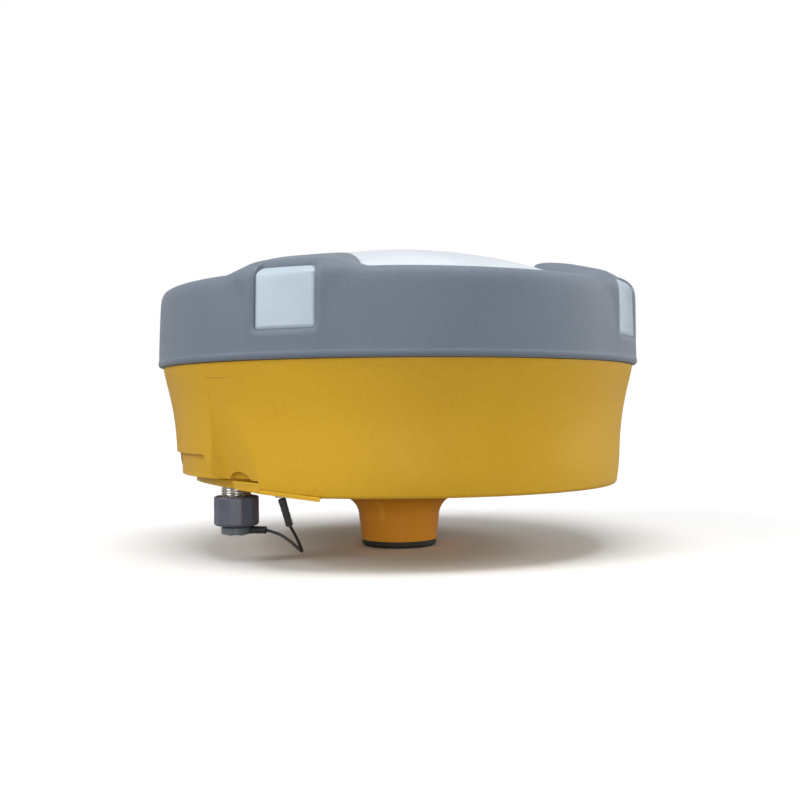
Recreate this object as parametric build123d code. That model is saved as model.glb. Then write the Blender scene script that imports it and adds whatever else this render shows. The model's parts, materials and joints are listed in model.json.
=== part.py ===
from build123d import *
import os
from math import cos, hypot, pi, radians, sin, sqrt, tan

# A GNSS receiver for a survey pole. Millimetres, +Z up. The origin is the centre of the foot of the
# neck, which is the antenna reference point. Azimuths are measured from -Y, turning towards +X.
# The connector bay is on the -X side, the control panel on +X and the battery door on +Y.

# ---- driving dimensions ---------------------------------------------------------------------------

OUTER_R = 95.0              # lip of the bumper ring, the widest place
OVERALL_H = 117.3           # foot of the neck washer to the top of the dome

WASHER_T = 2.4
NECK_R = 15.0
NECK_TOP_R = 16.2
NECK_TOP_Z = 11.5
FLOOR_R = 24.7              # where the fillet of the neck meets the conical floor
FLOOR_Z = 20.0
NECK_SEAT_Z = 24.0          # flat on the inside of the floor, under the flange of the neck
NECK_SEAT_R = 33.5
NECK_FLANGE_R = 32.0
NECK_FLANGE_Z = 26.6
RIM_R = 86.9                # foot of the side wall
RIM_Z = 25.3
WALL_T = 2.8
FLANGE_R = 93.0             # yellow band under the bumper ring
FLANGE_Z = 71.0
SEAT_R = 90.2               # rim that stands up inside the bumper ring
SEAT_Z = 74.0
GASKET_T = 0.6

DOME_R = 200.0              # sphere of the radome
DOME_EDGE_R = 75.8
DOME_T = 2.5
SKIRT_R = 90.1

PAD_AZIMUTHS = (-44.0, 44.0, 136.0, -136.0)
PAD_HALF_ANGLE = 6.8

CASE_SCREW_AZIMUTHS = (-35.0, -11.0, 11.0, 35.0, 145.0, -145.0)
CASE_SCREW_R = 78.0
CASE_SPLIT_Z = 70.0         # where the boss of the housing meets the post of the radome
SCREW_SEAT_Z = 66.0

INSERT_R = 11.0
INSERT_TOP_Z = 23.4
POLE_BORE_R = 6.75          # minor radius of a 5/8-11 thread
POLE_BORE_LENGTH = 19.0

PLATE_CHORD_X = -53.5       # straight inner edge of the port plate
PLATE_BOTTOM_Z = 24.3       # underside at the straight edge, from where it slopes up to the connectors
PLATE_SLOPE = 0.125
PLATE_LIP_T = 1.5           # edge of the plate that shows under the wall
PLATE_SCREW_SEAT_Z = 27.0
PLATE_TOP_Z = 30.5
PLATE_LIP_R = 87.5
PLATE_GROOVE_R = 80.0       # outside this radius the plate leaves a shadow gap under the wall
PLATE_GROOVE = 0.6
NOTCH_R = 86.0
NOTCH_HALF_W = 28.0
NOTCH_PLATE_R = 80.6
NOTCH_TOP_Z = 38.9
BAY_FLOOR_Z = 33.0

PORT_R = 74.0               # both connectors sit on this radius
TNC_AZIMUTH = -73.7
DATA_AZIMUTH = -106.3
TNC_THREAD_R = 5.55         # 7/16-28 thread
TNC_PITCH = 0.907
TNC_END_Z = 19.0
TNC_NECK_R = 4.75
DATA_SHELL_R = 5.6
DATA_COVER_R = 6.2
DATA_RECESS_Z = 29.0
DATA_NECK_R = 5.0
PLATE_SCREWS = ((-58.5, -40.0), (-58.5, 40.0), (-60.0, 0.0))
LANYARD_ANCHOR = (-62.2, -51.8)
LANYARD_SCREW_R = 1.0
LANYARD_SEAT_Z = 25.9
LANYARD_HEAD_Z = 24.9

VENT_X = 34.0
VENT_Y = -47.0
VENT_R = 3.4

CAP_R = 8.3
CAP_TOP_Z = 23.6
CAP_BOTTOM_Z = 12.9
CAP_BORE_R = 5.95
CAP_FLOOR_Z = 14.6
RIVET_R = 1.6
SWIVEL_BOTTOM_Z = 9.8
SWIVEL_TOP_Z = 12.5
SWIVEL_R = 5.6

CORD_R = 0.55
CRIMP_GAP = 0.25            # room for the cord's end to tilt beside the crimp that moves with the cap

DOOR_HALF_W = 33.0
DOOR_BOTTOM_Z = 32.4
DOOR_TOP_Z = 61.0
DOOR_GAP = 0.6
DOOR_INNER_R = 84.6
DOOR_PROUD = 0.8            # door stands this far out of the wall
DOOR_AXIS_Y = 90.6
DOOR_AXIS_Z = 29.8
KNUCKLE_R = 2.6
HINGE_PIN_R = 1.0

PANEL_INNER_R = 86.6
PANEL_HALF_W = 23.0
PANEL_BOTTOM_Z = 37.0
PANEL_TOP_Z = 57.0
BUTTON_R = 5.4
BUTTON_Z = 47.0
BUTTON_FACE_X = 89.9
BUTTON_TRAVEL = 0.8
LENS_R = 1.6
LENS_Y = (-16.5, -11.0, 11.0, 16.5)

CHASSIS_R = 71.0
CHASSIS_Z = 58.5
CHASSIS_T = 2.0
BOARD_R = 68.0
BOARD_T = 1.6
MAIN_BOARD_Z = 65.0
ANTENNA_BOARD_Z = 77.0
CHASSIS_POSTS = ((-45.0, -42.0), (45.0, -42.0), (45.0, 42.0), (-45.0, 42.0))

CLEAR = 0.1                 # gap between two pieces of the case that don't bear on each other


# ---- shared shapes --------------------------------------------------------------------------------

def at(radius, azimuth, z=0.0):
    """A point at an azimuth from -Y, turning towards +X."""
    angle = radians(azimuth)
    return Vector(radius * sin(angle), -radius * cos(angle), z)


def disc(radius, z0, z1, x=0.0, y=0.0):
    return Pos(x, y, (z0 + z1) / 2) * Cylinder(radius, z1 - z0)


def tube(outer, inner, z0, z1, x=0.0, y=0.0):
    middle = Pos(x, y, (z0 + z1) / 2)
    return middle * (Cylinder(outer, z1 - z0) - Cylinder(inner, z1 - z0 + 2))


def block(x0, x1, y0, y1, z0, z1):
    middle = Pos((x0 + x1) / 2, (y0 + y1) / 2, (z0 + z1) / 2)
    return middle * Box(x1 - x0, y1 - y0, z1 - z0)


def hexagon(across_flats, z0, z1, x=0.0, y=0.0):
    shape = RegularPolygon(across_flats / 2, 6, major_radius=False)
    return extrude(Pos(x, y, z0) * shape, z1 - z0)


def turned(outline, angle=360.0, start=0.0):
    """Turn an outline of (radius, z) points about Z, from an azimuth."""
    face = make_face(Polyline(*[(r, z) for r, z in outline], close=True))
    upright = Rot(0, 0, start - 90) * (Plane.XZ * face)
    return revolve(upright, Axis.Z, angle)


def prism(points, z0, z1):
    """A straight prism on plan points."""
    return extrude(Pos(0, 0, z0) * make_face(Polyline(*points, close=True)), z1 - z0)


def polar(points):
    return [(at(r, a).X, at(r, a).Y) for r, a in points]


def bar_x(radius, x0, x1, y, z):
    return Pos((x0 + x1) / 2, y, z) * Rot(0, 90, 0) * Cylinder(radius, x1 - x0)


def group(solids):
    """Separate solids that share one node."""
    return Compound(children=list(solids))


def save(shape, node):
    export_step(shape, f"parts/{node}.step")


# ---- case: lower housing --------------------------------------------------------------------------

# side wall of the yellow cup, from its foot to the flange, as (radius, z)
WALL = [(87.4, 30.0), (88.4, 45.0), (89.3, 53.0), (90.2, 58.0), (91.7, 64.4)]


def housing_outside():
    """The solid inside the outer surface of the cup and its neck."""
    bend = FLOOR_R - NECK_TOP_R
    corner = 1.6
    diagonal = sqrt(0.5)
    neck_top = (NECK_TOP_R, NECK_TOP_Z)
    neck_mid = (FLOOR_R - bend * diagonal, NECK_TOP_Z + bend * diagonal)
    rim_low = (RIM_R - corner, RIM_Z)
    rim_mid = (RIM_R - corner + corner * diagonal, RIM_Z + corner - corner * diagonal)
    rim_high = (RIM_R, RIM_Z + corner)
    flange_low = (FLANGE_R, 70.2)
    outline = Polyline((0, WASHER_T), (NECK_R, WASHER_T), neck_top)
    outline += ThreePointArc(neck_top, neck_mid, (FLOOR_R, FLOOR_Z))
    outline += Line((FLOOR_R, FLOOR_Z), rim_low)
    outline += ThreePointArc(rim_low, rim_mid, rim_high)
    outline += Spline(rim_high, *WALL)
    outline += Spline(WALL[-1], flange_low, tangents=[(0.24, 1), (0.2, 1)])
    outline += Polyline(flange_low, (FLANGE_R, FLANGE_Z), (SEAT_R, FLANGE_Z), (SEAT_R, SEAT_Z),
                        (0, SEAT_Z), (0, WASHER_T))
    return revolve(Plane.XZ * make_face(outline), Axis.Z)


def housing_inside():
    """The hollow of the cup, one wall thickness in."""
    outline = [(0, NECK_SEAT_Z), (NECK_SEAT_R, NECK_SEAT_Z), (RIM_R - 3.0, RIM_Z + 2.9)]
    outline += [(r - WALL_T, z) for r, z in WALL[:-1]]
    outline += [(87.6, 62.0), (87.6, SEAT_Z + 1), (0, SEAT_Z + 1)]
    return turned(outline)


def relief(mirror):
    """Wedge that scoops the wall above a connector. It is deepest at the foot and fades upwards."""
    foot = polar([(87.2, -53.0), (82.5, -67.6), (88.6, -70.8), (110.0, -70.8), (110.0, -53.0)])
    head = polar([(92.6, -55.0), (92.0, -67.6), (93.2, -69.0), (112.0, -69.0), (112.0, -55.0)])
    low = Pos(0, 0, 28.0) * make_face(Polyline(*foot, close=True))
    high = Pos(0, 0, 66.0) * make_face(Polyline(*head, close=True))
    wedge = loft([low, high], ruled=True) + prism(foot, 15.0, 28.0)
    return mirror_y(wedge) if mirror else wedge


def arch(mirror):
    """Low arch in the foot of the wall, over the edge of the port plate."""
    cutter = Rot(0, 0, -61.2) * Pos(0, -88.5, 29.6) * Rot(90, 0, 0) * extrude(Ellipse(7.0, 3.7), 6.5, both=True)
    return mirror_y(cutter) if mirror else cutter


def mirror_y(shape):
    return shape.mirror(Plane.XZ)


def notch(radius, side=0.0, top=0.0):
    """Cut round the outside of the bay between the two connectors, flared towards its foot."""
    half_top = NOTCH_HALF_W + side
    half_foot = NOTCH_HALF_W + 7.5 + side
    head_z = NOTCH_TOP_Z + top
    edge = Spline((half_top, head_z - 2.0), (half_foot, PLATE_TOP_Z), tangents=[(0, -1), (1, -0.35)])
    other = Spline((-half_foot, PLATE_TOP_Z), (-half_top, head_z - 2.0), tangents=[(1, 0.35), (0, 1)])
    outline = Polyline((-half_top, head_z - 2.0), (-half_top + 2.0, head_z), (half_top - 2.0, head_z),
                       (half_top, head_z - 2.0))
    outline += edge
    outline += Polyline((half_foot, PLATE_TOP_Z), (half_foot, 20.0), (-half_foot, 20.0),
                        (-half_foot, PLATE_TOP_Z))
    outline += other
    cutter = extrude(Plane.YZ.offset(-100) * make_face(outline), 50)
    return cutter - disc(radius, 0, 80)


def bay_block():
    """Raised floor of the connector bay and the backing of its cut walls, left out of the hollow."""
    floor = block(-100, PLATE_CHORD_X + 2.5, -70, 70, 20, BAY_FLOOR_Z)
    backing = notch(NOTCH_R - WALL_T, side=2.0, top=2.6)
    scoops = Pos(2.4, 1.4, 0) * relief(False) + Pos(2.4, -1.4, 0) * relief(True)
    return floor + backing + scoops


def plate_sector(radius, z0, z1):
    """Part of a disc between the outer ends of the two scoops."""
    wedge = [(0, 0), tuple(at(120, -53.6))[:2], tuple(at(120, -126.4))[:2]]
    return disc(radius, z0, z1) & prism(wedge, z0, z1)


def under_slope(lift):
    """Everything under the sloping underside of the port plate, lift higher."""
    near = PLATE_BOTTOM_Z + lift
    far = near + PLATE_SLOPE * (100 + PLATE_CHORD_X)
    outline = Polyline((PLATE_CHORD_X, 0), (PLATE_CHORD_X, near), (-100, far), (-100, 0), close=True)
    return extrude(Plane.XZ * make_face(outline), 95, both=True)


def plate_seat():
    """Space under the bay floor that the port plate fills."""
    left = block(-100, PLATE_CHORD_X, -90, 90, 10, 50)
    lip = disc(92, 15, 40) & under_slope(PLATE_LIP_T)
    return lip + ((disc(84, 15, PLATE_TOP_Z) + plate_sector(100, 15, PLATE_TOP_Z)) & left)


def panel_cut():
    """Recess and window of the control panel."""
    recess = block(70, 100, -PANEL_HALF_W - CLEAR, PANEL_HALF_W + CLEAR,
                   PANEL_BOTTOM_Z - CLEAR, PANEL_TOP_Z + CLEAR)
    window = block(70, 100, -20, 20, PANEL_BOTTOM_Z + 3, PANEL_TOP_Z - 3)
    return recess - disc(PANEL_INNER_R - CLEAR, 20, 80) + window


def door_frame(gap):
    """Block through the wall behind the battery door, gap wider than the door."""
    return block(-DOOR_HALF_W - gap, DOOR_HALF_W + gap, 70, 100, DOOR_BOTTOM_Z - gap, DOOR_TOP_Z + gap)


def hinge_lugs():
    """Fixed knuckles of the battery door and the webs that join them to the wall."""
    lugs = []
    for x0, x1 in ((-28.0, -19.0), (-8.6, 8.6), (19.0, 28.0)):
        web = block(x0, x1, 80.5, DOOR_AXIS_Y, DOOR_AXIS_Z - KNUCKLE_R, DOOR_AXIS_Z + 0.4)
        knuckle = bar_x(KNUCKLE_R, x0, x1, DOOR_AXIS_Y, DOOR_AXIS_Z)
        lugs.append(web + knuckle)
    return lugs


def pole_neck():
    """Neck with its flared root, and the flange that is bonded to the floor of the cup inside."""
    flared = housing_outside() & disc(FLOOR_R, 0, NECK_SEAT_Z)
    flange = disc(NECK_FLANGE_R, NECK_SEAT_Z, NECK_FLANGE_Z)
    return flared + flange - disc(INSERT_R, 0, INSERT_TOP_Z)


def lower_housing():
    hollow = housing_inside() - bay_block()
    # thick frames behind the battery door and the control panel
    hollow -= block(-DOOR_HALF_W - 4, DOOR_HALF_W + 4, 76.5, 95, DOOR_BOTTOM_Z - 3, DOOR_TOP_Z + 3)
    hollow -= block(83.5, 95, -PANEL_HALF_W - 2, PANEL_HALF_W + 2, PANEL_BOTTOM_Z - 2, PANEL_TOP_Z + 2)
    body = housing_outside() - hollow
    for lug in hinge_lugs():
        body += lug
    body -= bar_x(HINGE_PIN_R, -40, 40, DOOR_AXIS_Y, DOOR_AXIS_Z)
    # pocket for the door, and the smaller opening that the battery passes through
    body -= door_frame(DOOR_GAP) - disc(DOOR_INNER_R - 0.3, 20, 80)
    body -= block(-30.2, 30.2, 60, 100, 35.0, 57.4)
    # connector bay: seat of the port plate, scoops, arches and the notch between the connectors
    body -= plate_seat()
    for mirrored in (False, True):
        body -= relief(mirrored)
        body -= arch(mirrored)
    body -= notch(NOTCH_R)
    # case screw bosses with deep counterbores from below
    for azimuth in CASE_SCREW_AZIMUTHS:
        p = at(CASE_SCREW_R, azimuth)
        body += disc(5.0, 27.0, CASE_SPLIT_Z, p.X, p.Y)
        body -= disc(3.2, 15.0, SCREW_SEAT_Z, p.X, p.Y)
        body -= disc(1.6, 15.0, CASE_SPLIT_Z + 1, p.X, p.Y)
    for x, y in CHASSIS_POSTS:
        body += disc(3.6, 26.0, CHASSIS_Z, x, y)
        body -= disc(1.25, CHASSIS_Z - 9, CHASSIS_Z + 1, x, y)
    for y in (-17.0, 17.0):
        for z in (38.4, 55.6):
            body += bar_x(1.4, 81.8, 84.0, y, z)
    # openings for the neck, the connectors, the plate screws and the vent
    body -= disc(FLOOR_R + 0.05, 0, 50)
    tnc = at(PORT_R, TNC_AZIMUTH)
    data = at(PORT_R, DATA_AZIMUTH)
    body -= disc(TNC_NECK_R, 25, 40, tnc.X, tnc.Y)
    body -= disc(DATA_NECK_R, 25, 40, data.X, data.Y)
    for x, y in PLATE_SCREWS:
        body -= disc(1.25, 29, 32.2, x, y)
    body -= disc(LANYARD_SCREW_R, 29, 32.2, *LANYARD_ANCHOR)
    body -= panel_cut()
    body -= disc(VENT_R, 15, 35, VENT_X, VENT_Y)
    body -= disc(VENT_R + 2.2, 15, 24.0, VENT_X, VENT_Y)
    return body


# ---- case: port plate and small pieces of the neck ------------------------------------------------

def port_plate():
    """Cover under the connector bay, with spot faces round both connectors."""
    left = block(-100, PLATE_CHORD_X - CLEAR, -90, 90, 10, 50)
    plate = disc(PLATE_LIP_R, 20, 40) & under_slope(PLATE_LIP_T)
    plate += disc(84 - CLEAR, 20, PLATE_TOP_Z) + plate_sector(95, 20, PLATE_TOP_Z)
    plate = (plate & left) - under_slope(0)
    plate -= tube(100, PLATE_GROOVE_R, PLATE_TOP_Z - PLATE_GROOVE, 50)
    for mirrored in (False, True):
        plate -= relief(mirrored)
    plate -= notch(NOTCH_PLATE_R)
    tnc = at(PORT_R, TNC_AZIMUTH)
    data = at(PORT_R, DATA_AZIMUTH)
    plate -= disc(5.8, 20, 40, tnc.X, tnc.Y)
    plate -= disc(9.6, 20, 27.0, tnc.X, tnc.Y)
    plate -= disc(DATA_SHELL_R, 20, 40, data.X, data.Y)
    plate -= disc(DATA_COVER_R + 0.3, 20, DATA_RECESS_Z, data.X, data.Y)
    for x, y in PLATE_SCREWS:
        plate -= disc(1.6, 20, 40, x, y)
        plate -= disc(2.8, 20, PLATE_SCREW_SEAT_Z, x, y)
    plate -= disc(LANYARD_SCREW_R, 20, 40, *LANYARD_ANCHOR)
    plate -= disc(2.4, 20, LANYARD_SEAT_Z, *LANYARD_ANCHOR)
    # lightening pocket on the hidden upper side
    pocket = block(-69.0, -57.0, -14.0, 14.0, 28.4, 40) - disc(4.5, 20, 40, *PLATE_SCREWS[2])
    return plate - pocket


def port_plate_screws():
    screws = []
    for x, y in PLATE_SCREWS:
        seat = PLATE_SCREW_SEAT_Z
        screw = disc(2.6, seat - 1.6, seat, x, y) + disc(1.25, seat, 32.0, x, y)
        screw -= hexagon(1.5, seat - 1.7, seat - 0.6, x, y)
        screws.append(screw)
    return group(screws)


def pole_insert():
    body = disc(INSERT_R, WASHER_T, INSERT_TOP_Z)
    bore = disc(POLE_BORE_R, WASHER_T - 1, WASHER_T + POLE_BORE_LENGTH)
    lead_in = Pos(0, 0, WASHER_T + 0.5) * Cone(POLE_BORE_R + 1.0, POLE_BORE_R, 1.0)
    grooves = [tube(INSERT_R + 1, INSERT_R - 0.8, z, z + 1.6) for z in (7.0, 14.0, 19.0)]
    for groove in grooves:
        body -= groove
    return body - bore - lead_in


def neck_washer():
    """Rubber ring that bears on the pole."""
    foot = [(8.2, 0), (NECK_R - 0.7, 0), (NECK_R, 0.8), (NECK_R, WASHER_T), (8.2, WASHER_T)]
    return turned(foot)


def housing_gasket():
    return tube(SEAT_R - 0.2, 87.7, SEAT_Z, SEAT_Z + GASKET_T)


def housing_screws():
    screws = []
    for azimuth in CASE_SCREW_AZIMUTHS:
        p = at(CASE_SCREW_R, azimuth)
        head = disc(2.75, SCREW_SEAT_Z - 3.0, SCREW_SEAT_Z, p.X, p.Y)
        head -= hexagon(2.5, SCREW_SEAT_Z - 3.1, SCREW_SEAT_Z - 1.4, p.X, p.Y)
        screws.append(head + disc(1.5, SCREW_SEAT_Z, SCREW_SEAT_Z + 13.0, p.X, p.Y))
    return group(screws)


def vent_plug():
    """Breather with a fine slotted face."""
    plug = disc(VENT_R + 2.0, 22.7, 24.0, VENT_X, VENT_Y) + disc(VENT_R, 24.0, 27.8, VENT_X, VENT_Y)
    for step in (-1.6, 0.0, 1.6):
        plug -= block(VENT_X - 2.6, VENT_X + 2.6, VENT_Y + step - 0.3, VENT_Y + step + 0.3, 22, 23.2)
    return plug


# ---- case: radome and bumper ----------------------------------------------------------------------

def dome_z(radius, sphere=DOME_R, top=OVERALL_H):
    return top - sphere + sqrt(sphere * sphere - radius * radius)


def dome_solid(gap):
    """Solid inside the outer surface of the radome, gap larger."""
    edge = (DOME_EDGE_R + gap, dome_z(DOME_EDGE_R) + gap)
    outline = ThreePointArc((0, OVERALL_H + gap), (40.0, dome_z(40.0) + gap), edge)
    shoulder = (84.0 + gap, 97.3 + gap)
    outline += Polyline(edge, (DOME_EDGE_R + gap, 99.8 + gap), shoulder)
    outline += ThreePointArc(shoulder, (88.4 + gap, 95.2 + gap), (SKIRT_R + gap, 91.0 + gap))
    foot = SEAT_Z + GASKET_T
    outline += Polyline((SKIRT_R + gap, 91.0 + gap), (SKIRT_R + gap, foot), (0, foot), (0, OVERALL_H + gap))
    return revolve(Plane.XZ * make_face(outline), Axis.Z)


def radome():
    inner = ThreePointArc((0, OVERALL_H - DOME_T), (36.5, dome_z(36.5, DOME_R - DOME_T, OVERALL_H - DOME_T)),
                          (73.0, dome_z(73.0, DOME_R - DOME_T, OVERALL_H - DOME_T)))
    inner += Polyline(inner @ 1, (73.3, 97.6), (82.6, 94.8), (87.4, 90.0), (87.4, 70), (0, 70),
                      (0, OVERALL_H - DOME_T))
    shell = dome_solid(0.0) - revolve(Plane.XZ * make_face(inner), Axis.Z)
    for azimuth in CASE_SCREW_AZIMUTHS:
        p = at(CASE_SCREW_R, azimuth)
        shell += disc(4.0, CASE_SPLIT_Z, 96.0, p.X, p.Y)
        shell -= disc(1.5, CASE_SPLIT_Z - 1, 81.0, p.X, p.Y)
    return shell


def bumper_arm(azimuth):
    """Raised arm that runs over the shoulder of the ring, from the pad inwards on to the dome."""
    section = [(64.0, 90), (64.0, 108.9), (65.6, 110.2), (84.0, 104.9), (87.9, 102.4), (93.1, 99.6),
               (94.5, 96.5), (94.6, 79.0), (90.0, 79.0), (90.0, 90)]
    arm = turned(section, 40.0, -20.0)
    # plan of the arm at its foot: a rounded tongue, tapered in as it rises
    low_z = 92.0
    half = 24.0
    tongue = Rectangle(2 * half, 44.0, align=(Align.CENTER, Align.MIN))
    tongue = fillet(tongue.vertices().group_by(Axis.Y)[-1], 12.0)
    hump = extrude(Pos(0, -98.0, low_z) * tongue, 22.0, taper=28)
    base = extrude(Pos(0, -98.0, 76.0) * tongue, low_z - 76.0)
    arm = arm & (hump + base)
    return Rot(0, 0, azimuth) * arm


PAD_BACK = [(88.9, 99.6), (91.5, 97.0), (91.5, 81.0)]
PAD_FACE = [(94.5, 81.0), (94.3, 97.4), (93.6, 99.6), (92.0, 101.0), (88.9, 102.4)]


def pad_pocket(azimuth):
    """Pocket of a pad, open outwards and upwards."""
    gap = 0.15
    section = [(r - gap, z - gap) for r, z in PAD_BACK] + [(98.0, 81.0 - gap), (98.0, 106.0), (88.9 - gap, 106.0)]
    return turned(section, 2 * (PAD_HALF_ANGLE + gap), azimuth - PAD_HALF_ANGLE - gap)


def bumper_ring():
    outline = Polyline((86, FLANGE_Z + CLEAR), (93.4, FLANGE_Z + CLEAR), (OUTER_R, 73.0), (94.4, 77.0),
                       (94.0, 95.5))
    outline += ThreePointArc((94.0, 95.5), (92.9, 98.7), (90.0, 100.2))
    outline += Polyline((90.0, 100.2), (DOME_EDGE_R, 102.9), (70, 102.9), (70, 90), (86, 90),
                        (86, FLANGE_Z + CLEAR))
    ring = revolve(Plane.XZ * make_face(outline), Axis.Z)
    for azimuth in PAD_AZIMUTHS:
        ring += bumper_arm(azimuth)
    ring -= dome_solid(CLEAR)
    ring -= disc(SKIRT_R + CLEAR, 60, 92)
    ring -= disc(DOME_EDGE_R - 1, 80, 103) - dome_solid(CLEAR)
    for azimuth in PAD_AZIMUTHS:
        ring -= pad_pocket(azimuth)
    return ring


def bumper_pad(azimuth):
    return turned(PAD_BACK + PAD_FACE, 2 * PAD_HALF_ANGLE, azimuth - PAD_HALF_ANGLE)


# ---- inside: chassis, boards and antenna ----------------------------------------------------------

def chassis():
    plate = disc(CHASSIS_R, CHASSIS_Z, CHASSIS_Z + CHASSIS_T)
    for x, y in CHASSIS_POSTS:
        plate -= disc(1.4, 50, 70, x, y)
    plate -= block(-68, -50, -10, 10, 50, 70)
    return plate - block(50, 66, -14, 14, 50, 70)


def board(radius, z, holes):
    shape = disc(radius, z, z + BOARD_T)
    for x, y in holes:
        shape -= disc(1.4, z - 1, z + 3, x, y)
    return shape


def board_standoffs():
    """Hexagonal spacers that clamp the chassis to its posts and carry the main board."""
    top = CHASSIS_Z + CHASSIS_T
    return group([hexagon(5.0, top, MAIN_BOARD_Z, x, y) + disc(1.25, CHASSIS_Z - 8, top, x, y)
                  - disc(1.25, MAIN_BOARD_Z - 3, MAIN_BOARD_Z + 1, x, y) for x, y in CHASSIS_POSTS])


def antenna_standoffs():
    low = MAIN_BOARD_Z + BOARD_T
    return group([hexagon(5.0, low, ANTENNA_BOARD_Z, x, y) + disc(1.25, MAIN_BOARD_Z - 2.8, low, x, y)
                  - disc(1.0, ANTENNA_BOARD_Z - 5, ANTENNA_BOARD_Z + 1, x, y) for x, y in CHASSIS_POSTS])


def board_screws():
    top = ANTENNA_BOARD_Z + BOARD_T
    return group([disc(2.2, top, top + 1.4, x, y) + disc(1.0, ANTENNA_BOARD_Z - 4, top, x, y)
                  - hexagon(1.5, top + 0.5, top + 2, x, y) for x, y in CHASSIS_POSTS])


def shield_can(x0, x1, y0, y1, z0, z1, open_up):
    """Folded can, closed on the side away from its board, with a grid of small vents."""
    skin = 0.5
    low = z0 - 1 if not open_up else z0 + skin
    high = z1 + 1 if open_up else z1 - skin
    can = block(x0, x1, y0, y1, z0, z1) - block(x0 + skin, x1 - skin, y0 + skin, y1 - skin, low, high)
    for i in (-1, 0, 1):
        for j in (-1, 0, 1):
            x = (x0 + x1) / 2 + i * (x1 - x0) / 4
            y = (y0 + y1) / 2 + j * (y1 - y0) / 4
            can -= disc(1.0, z0 if open_up else z1 - 1, z0 + 1 if open_up else z1 + 1, x, y)
    return can


def main_board_chips():
    top = MAIN_BOARD_Z + BOARD_T
    chips = []
    for i, side in enumerate((14.0, 9.0, 6.0)):
        for j, y in enumerate((-26.0, -6.0, 14.0, 32.0)):
            x = 18.0 + 15.0 * i
            half = side / 2 - j * 0.5
            if hypot(x + half, abs(y) + half) < BOARD_R - 2:
                chips.append(block(x - half, x + half, y - half, y + half, top, top + 1.2))
    return group(chips)


def feed_points():
    return [(9.0, 0.0), (0.0, 9.0), (-9.0, 0.0), (0.0, -9.0)]


def drilled(shape, radius):
    for x, y in feed_points():
        shape -= disc(radius, 60, 110, x, y)
    return shape


GROUND_Z = ANTENNA_BOARD_Z + BOARD_T
LOWER_PATCH_Z = GROUND_Z + 1.5
UPPER_PATCH_Z = LOWER_PATCH_Z + 6.2
FOIL_T = 0.2


def ground_plane():
    plate = drilled(disc(72.0, GROUND_Z, LOWER_PATCH_Z), 1.2)
    for x, y in CHASSIS_POSTS:
        plate -= disc(3.0, 70, 90, x, y)
    return plate


def lower_patch():
    return drilled(disc(40.0, LOWER_PATCH_Z, UPPER_PATCH_Z - FOIL_T), 1.2)


def upper_patch():
    return drilled(disc(27.0, UPPER_PATCH_Z, UPPER_PATCH_Z + 6.0), 1.2)


def patch_foils():
    low = drilled(disc(36.0, UPPER_PATCH_Z - FOIL_T, UPPER_PATCH_Z), 1.2)
    high = drilled(disc(23.0, UPPER_PATCH_Z + 6.0, UPPER_PATCH_Z + 6.0 + FOIL_T), 0.5)
    return group([low, high])


def feed_pins():
    return group([disc(0.5, ANTENNA_BOARD_Z - 0.8, UPPER_PATCH_Z + 6.6, x, y) for x, y in feed_points()])


def radio_module():
    body = block(-32, 32, -62, -22, 45.5, CHASSIS_Z)
    for x in range(-28, 29, 8):
        body -= block(x - 1.5, x + 1.5, -60, -24, 45, 47.5)
    return body


# ---- inside: battery and its door -----------------------------------------------------------------

def battery_tray():
    """Plastic sleeve under the chassis, open towards the door."""
    tray = block(-29, 29, 4, 76, 32.0, CHASSIS_Z) - block(-27.3, 27.3, 5.6, 80, 33.7, 56.3)
    return tray - block(-22, 22, 12, 66, 30, 40)


def battery_pack():
    pack = block(-27, 27, 8.2, 74, 34, 56)
    pack = fillet(pack.edges().filter_by(Axis.Y), 3.0)
    pull = block(-10, 10, 72.8, 75, 43, 47)
    return pack - pull


def battery_contacts():
    return group([block(x - 2.5, x + 2.5, 5.6, 8.2, 42, 50) for x in (-12, 0, 12)])


def wall_band(inner, proud, z0, z1):
    """Ring of the side wall between two heights, proud of its outer surface."""
    outer = [(r + proud, z) for r, z in [(RIM_R, RIM_Z + 1.6)] + WALL]
    band = turned([(inner, RIM_Z + 1.6)] + outer + [(inner, WALL[-1][1])])
    return band & disc(120, z0, z1)


def battery_door():
    door = wall_band(DOOR_INNER_R, DOOR_PROUD, DOOR_BOTTOM_Z, DOOR_TOP_Z)
    door = door & block(-DOOR_HALF_W, DOOR_HALF_W, 60, 100, DOOR_BOTTOM_Z, DOOR_TOP_Z)
    # the inner top edge is rounded about the hinge, so that it swings clear of the pocket
    door = door & bar_x(31.35, -50, 50, DOOR_AXIS_Y, DOOR_AXIS_Z)
    for x0, x1 in ((-18.5, -9.1), (9.1, 18.5)):
        door += bar_x(KNUCKLE_R, x0, x1, DOOR_AXIS_Y, DOOR_AXIS_Z)
        door += block(x0, x1, 89.0, 92.0, DOOR_AXIS_Z + 1, 34.2)
        door += block(x0, x1, 85.0, 92.0, DOOR_BOTTOM_Z, 34.2)
    door -= bar_x(HINGE_PIN_R + 0.06, -40, 40, DOOR_AXIS_Y, DOOR_AXIS_Z)
    # undercut track of the latch
    door -= block(-8.0, 8.0, 86.4, 88.4, 53.2, 59.8)
    door -= block(-8.0, 8.0, 88.0, 99.0, 54.4, 58.6)
    return door


def door_gasket():
    ring = turned([(DOOR_INNER_R - 1.2, 35.8), (DOOR_INNER_R, 35.8), (DOOR_INNER_R, 56.6),
                   (DOOR_INNER_R - 1.2, 56.6)])
    outer = block(-29.4, 29.4, 60, 100, 35.8, 56.6)
    return (ring & outer) - block(-27.2, 27.2, 60, 100, 38.0, 54.4)


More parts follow.
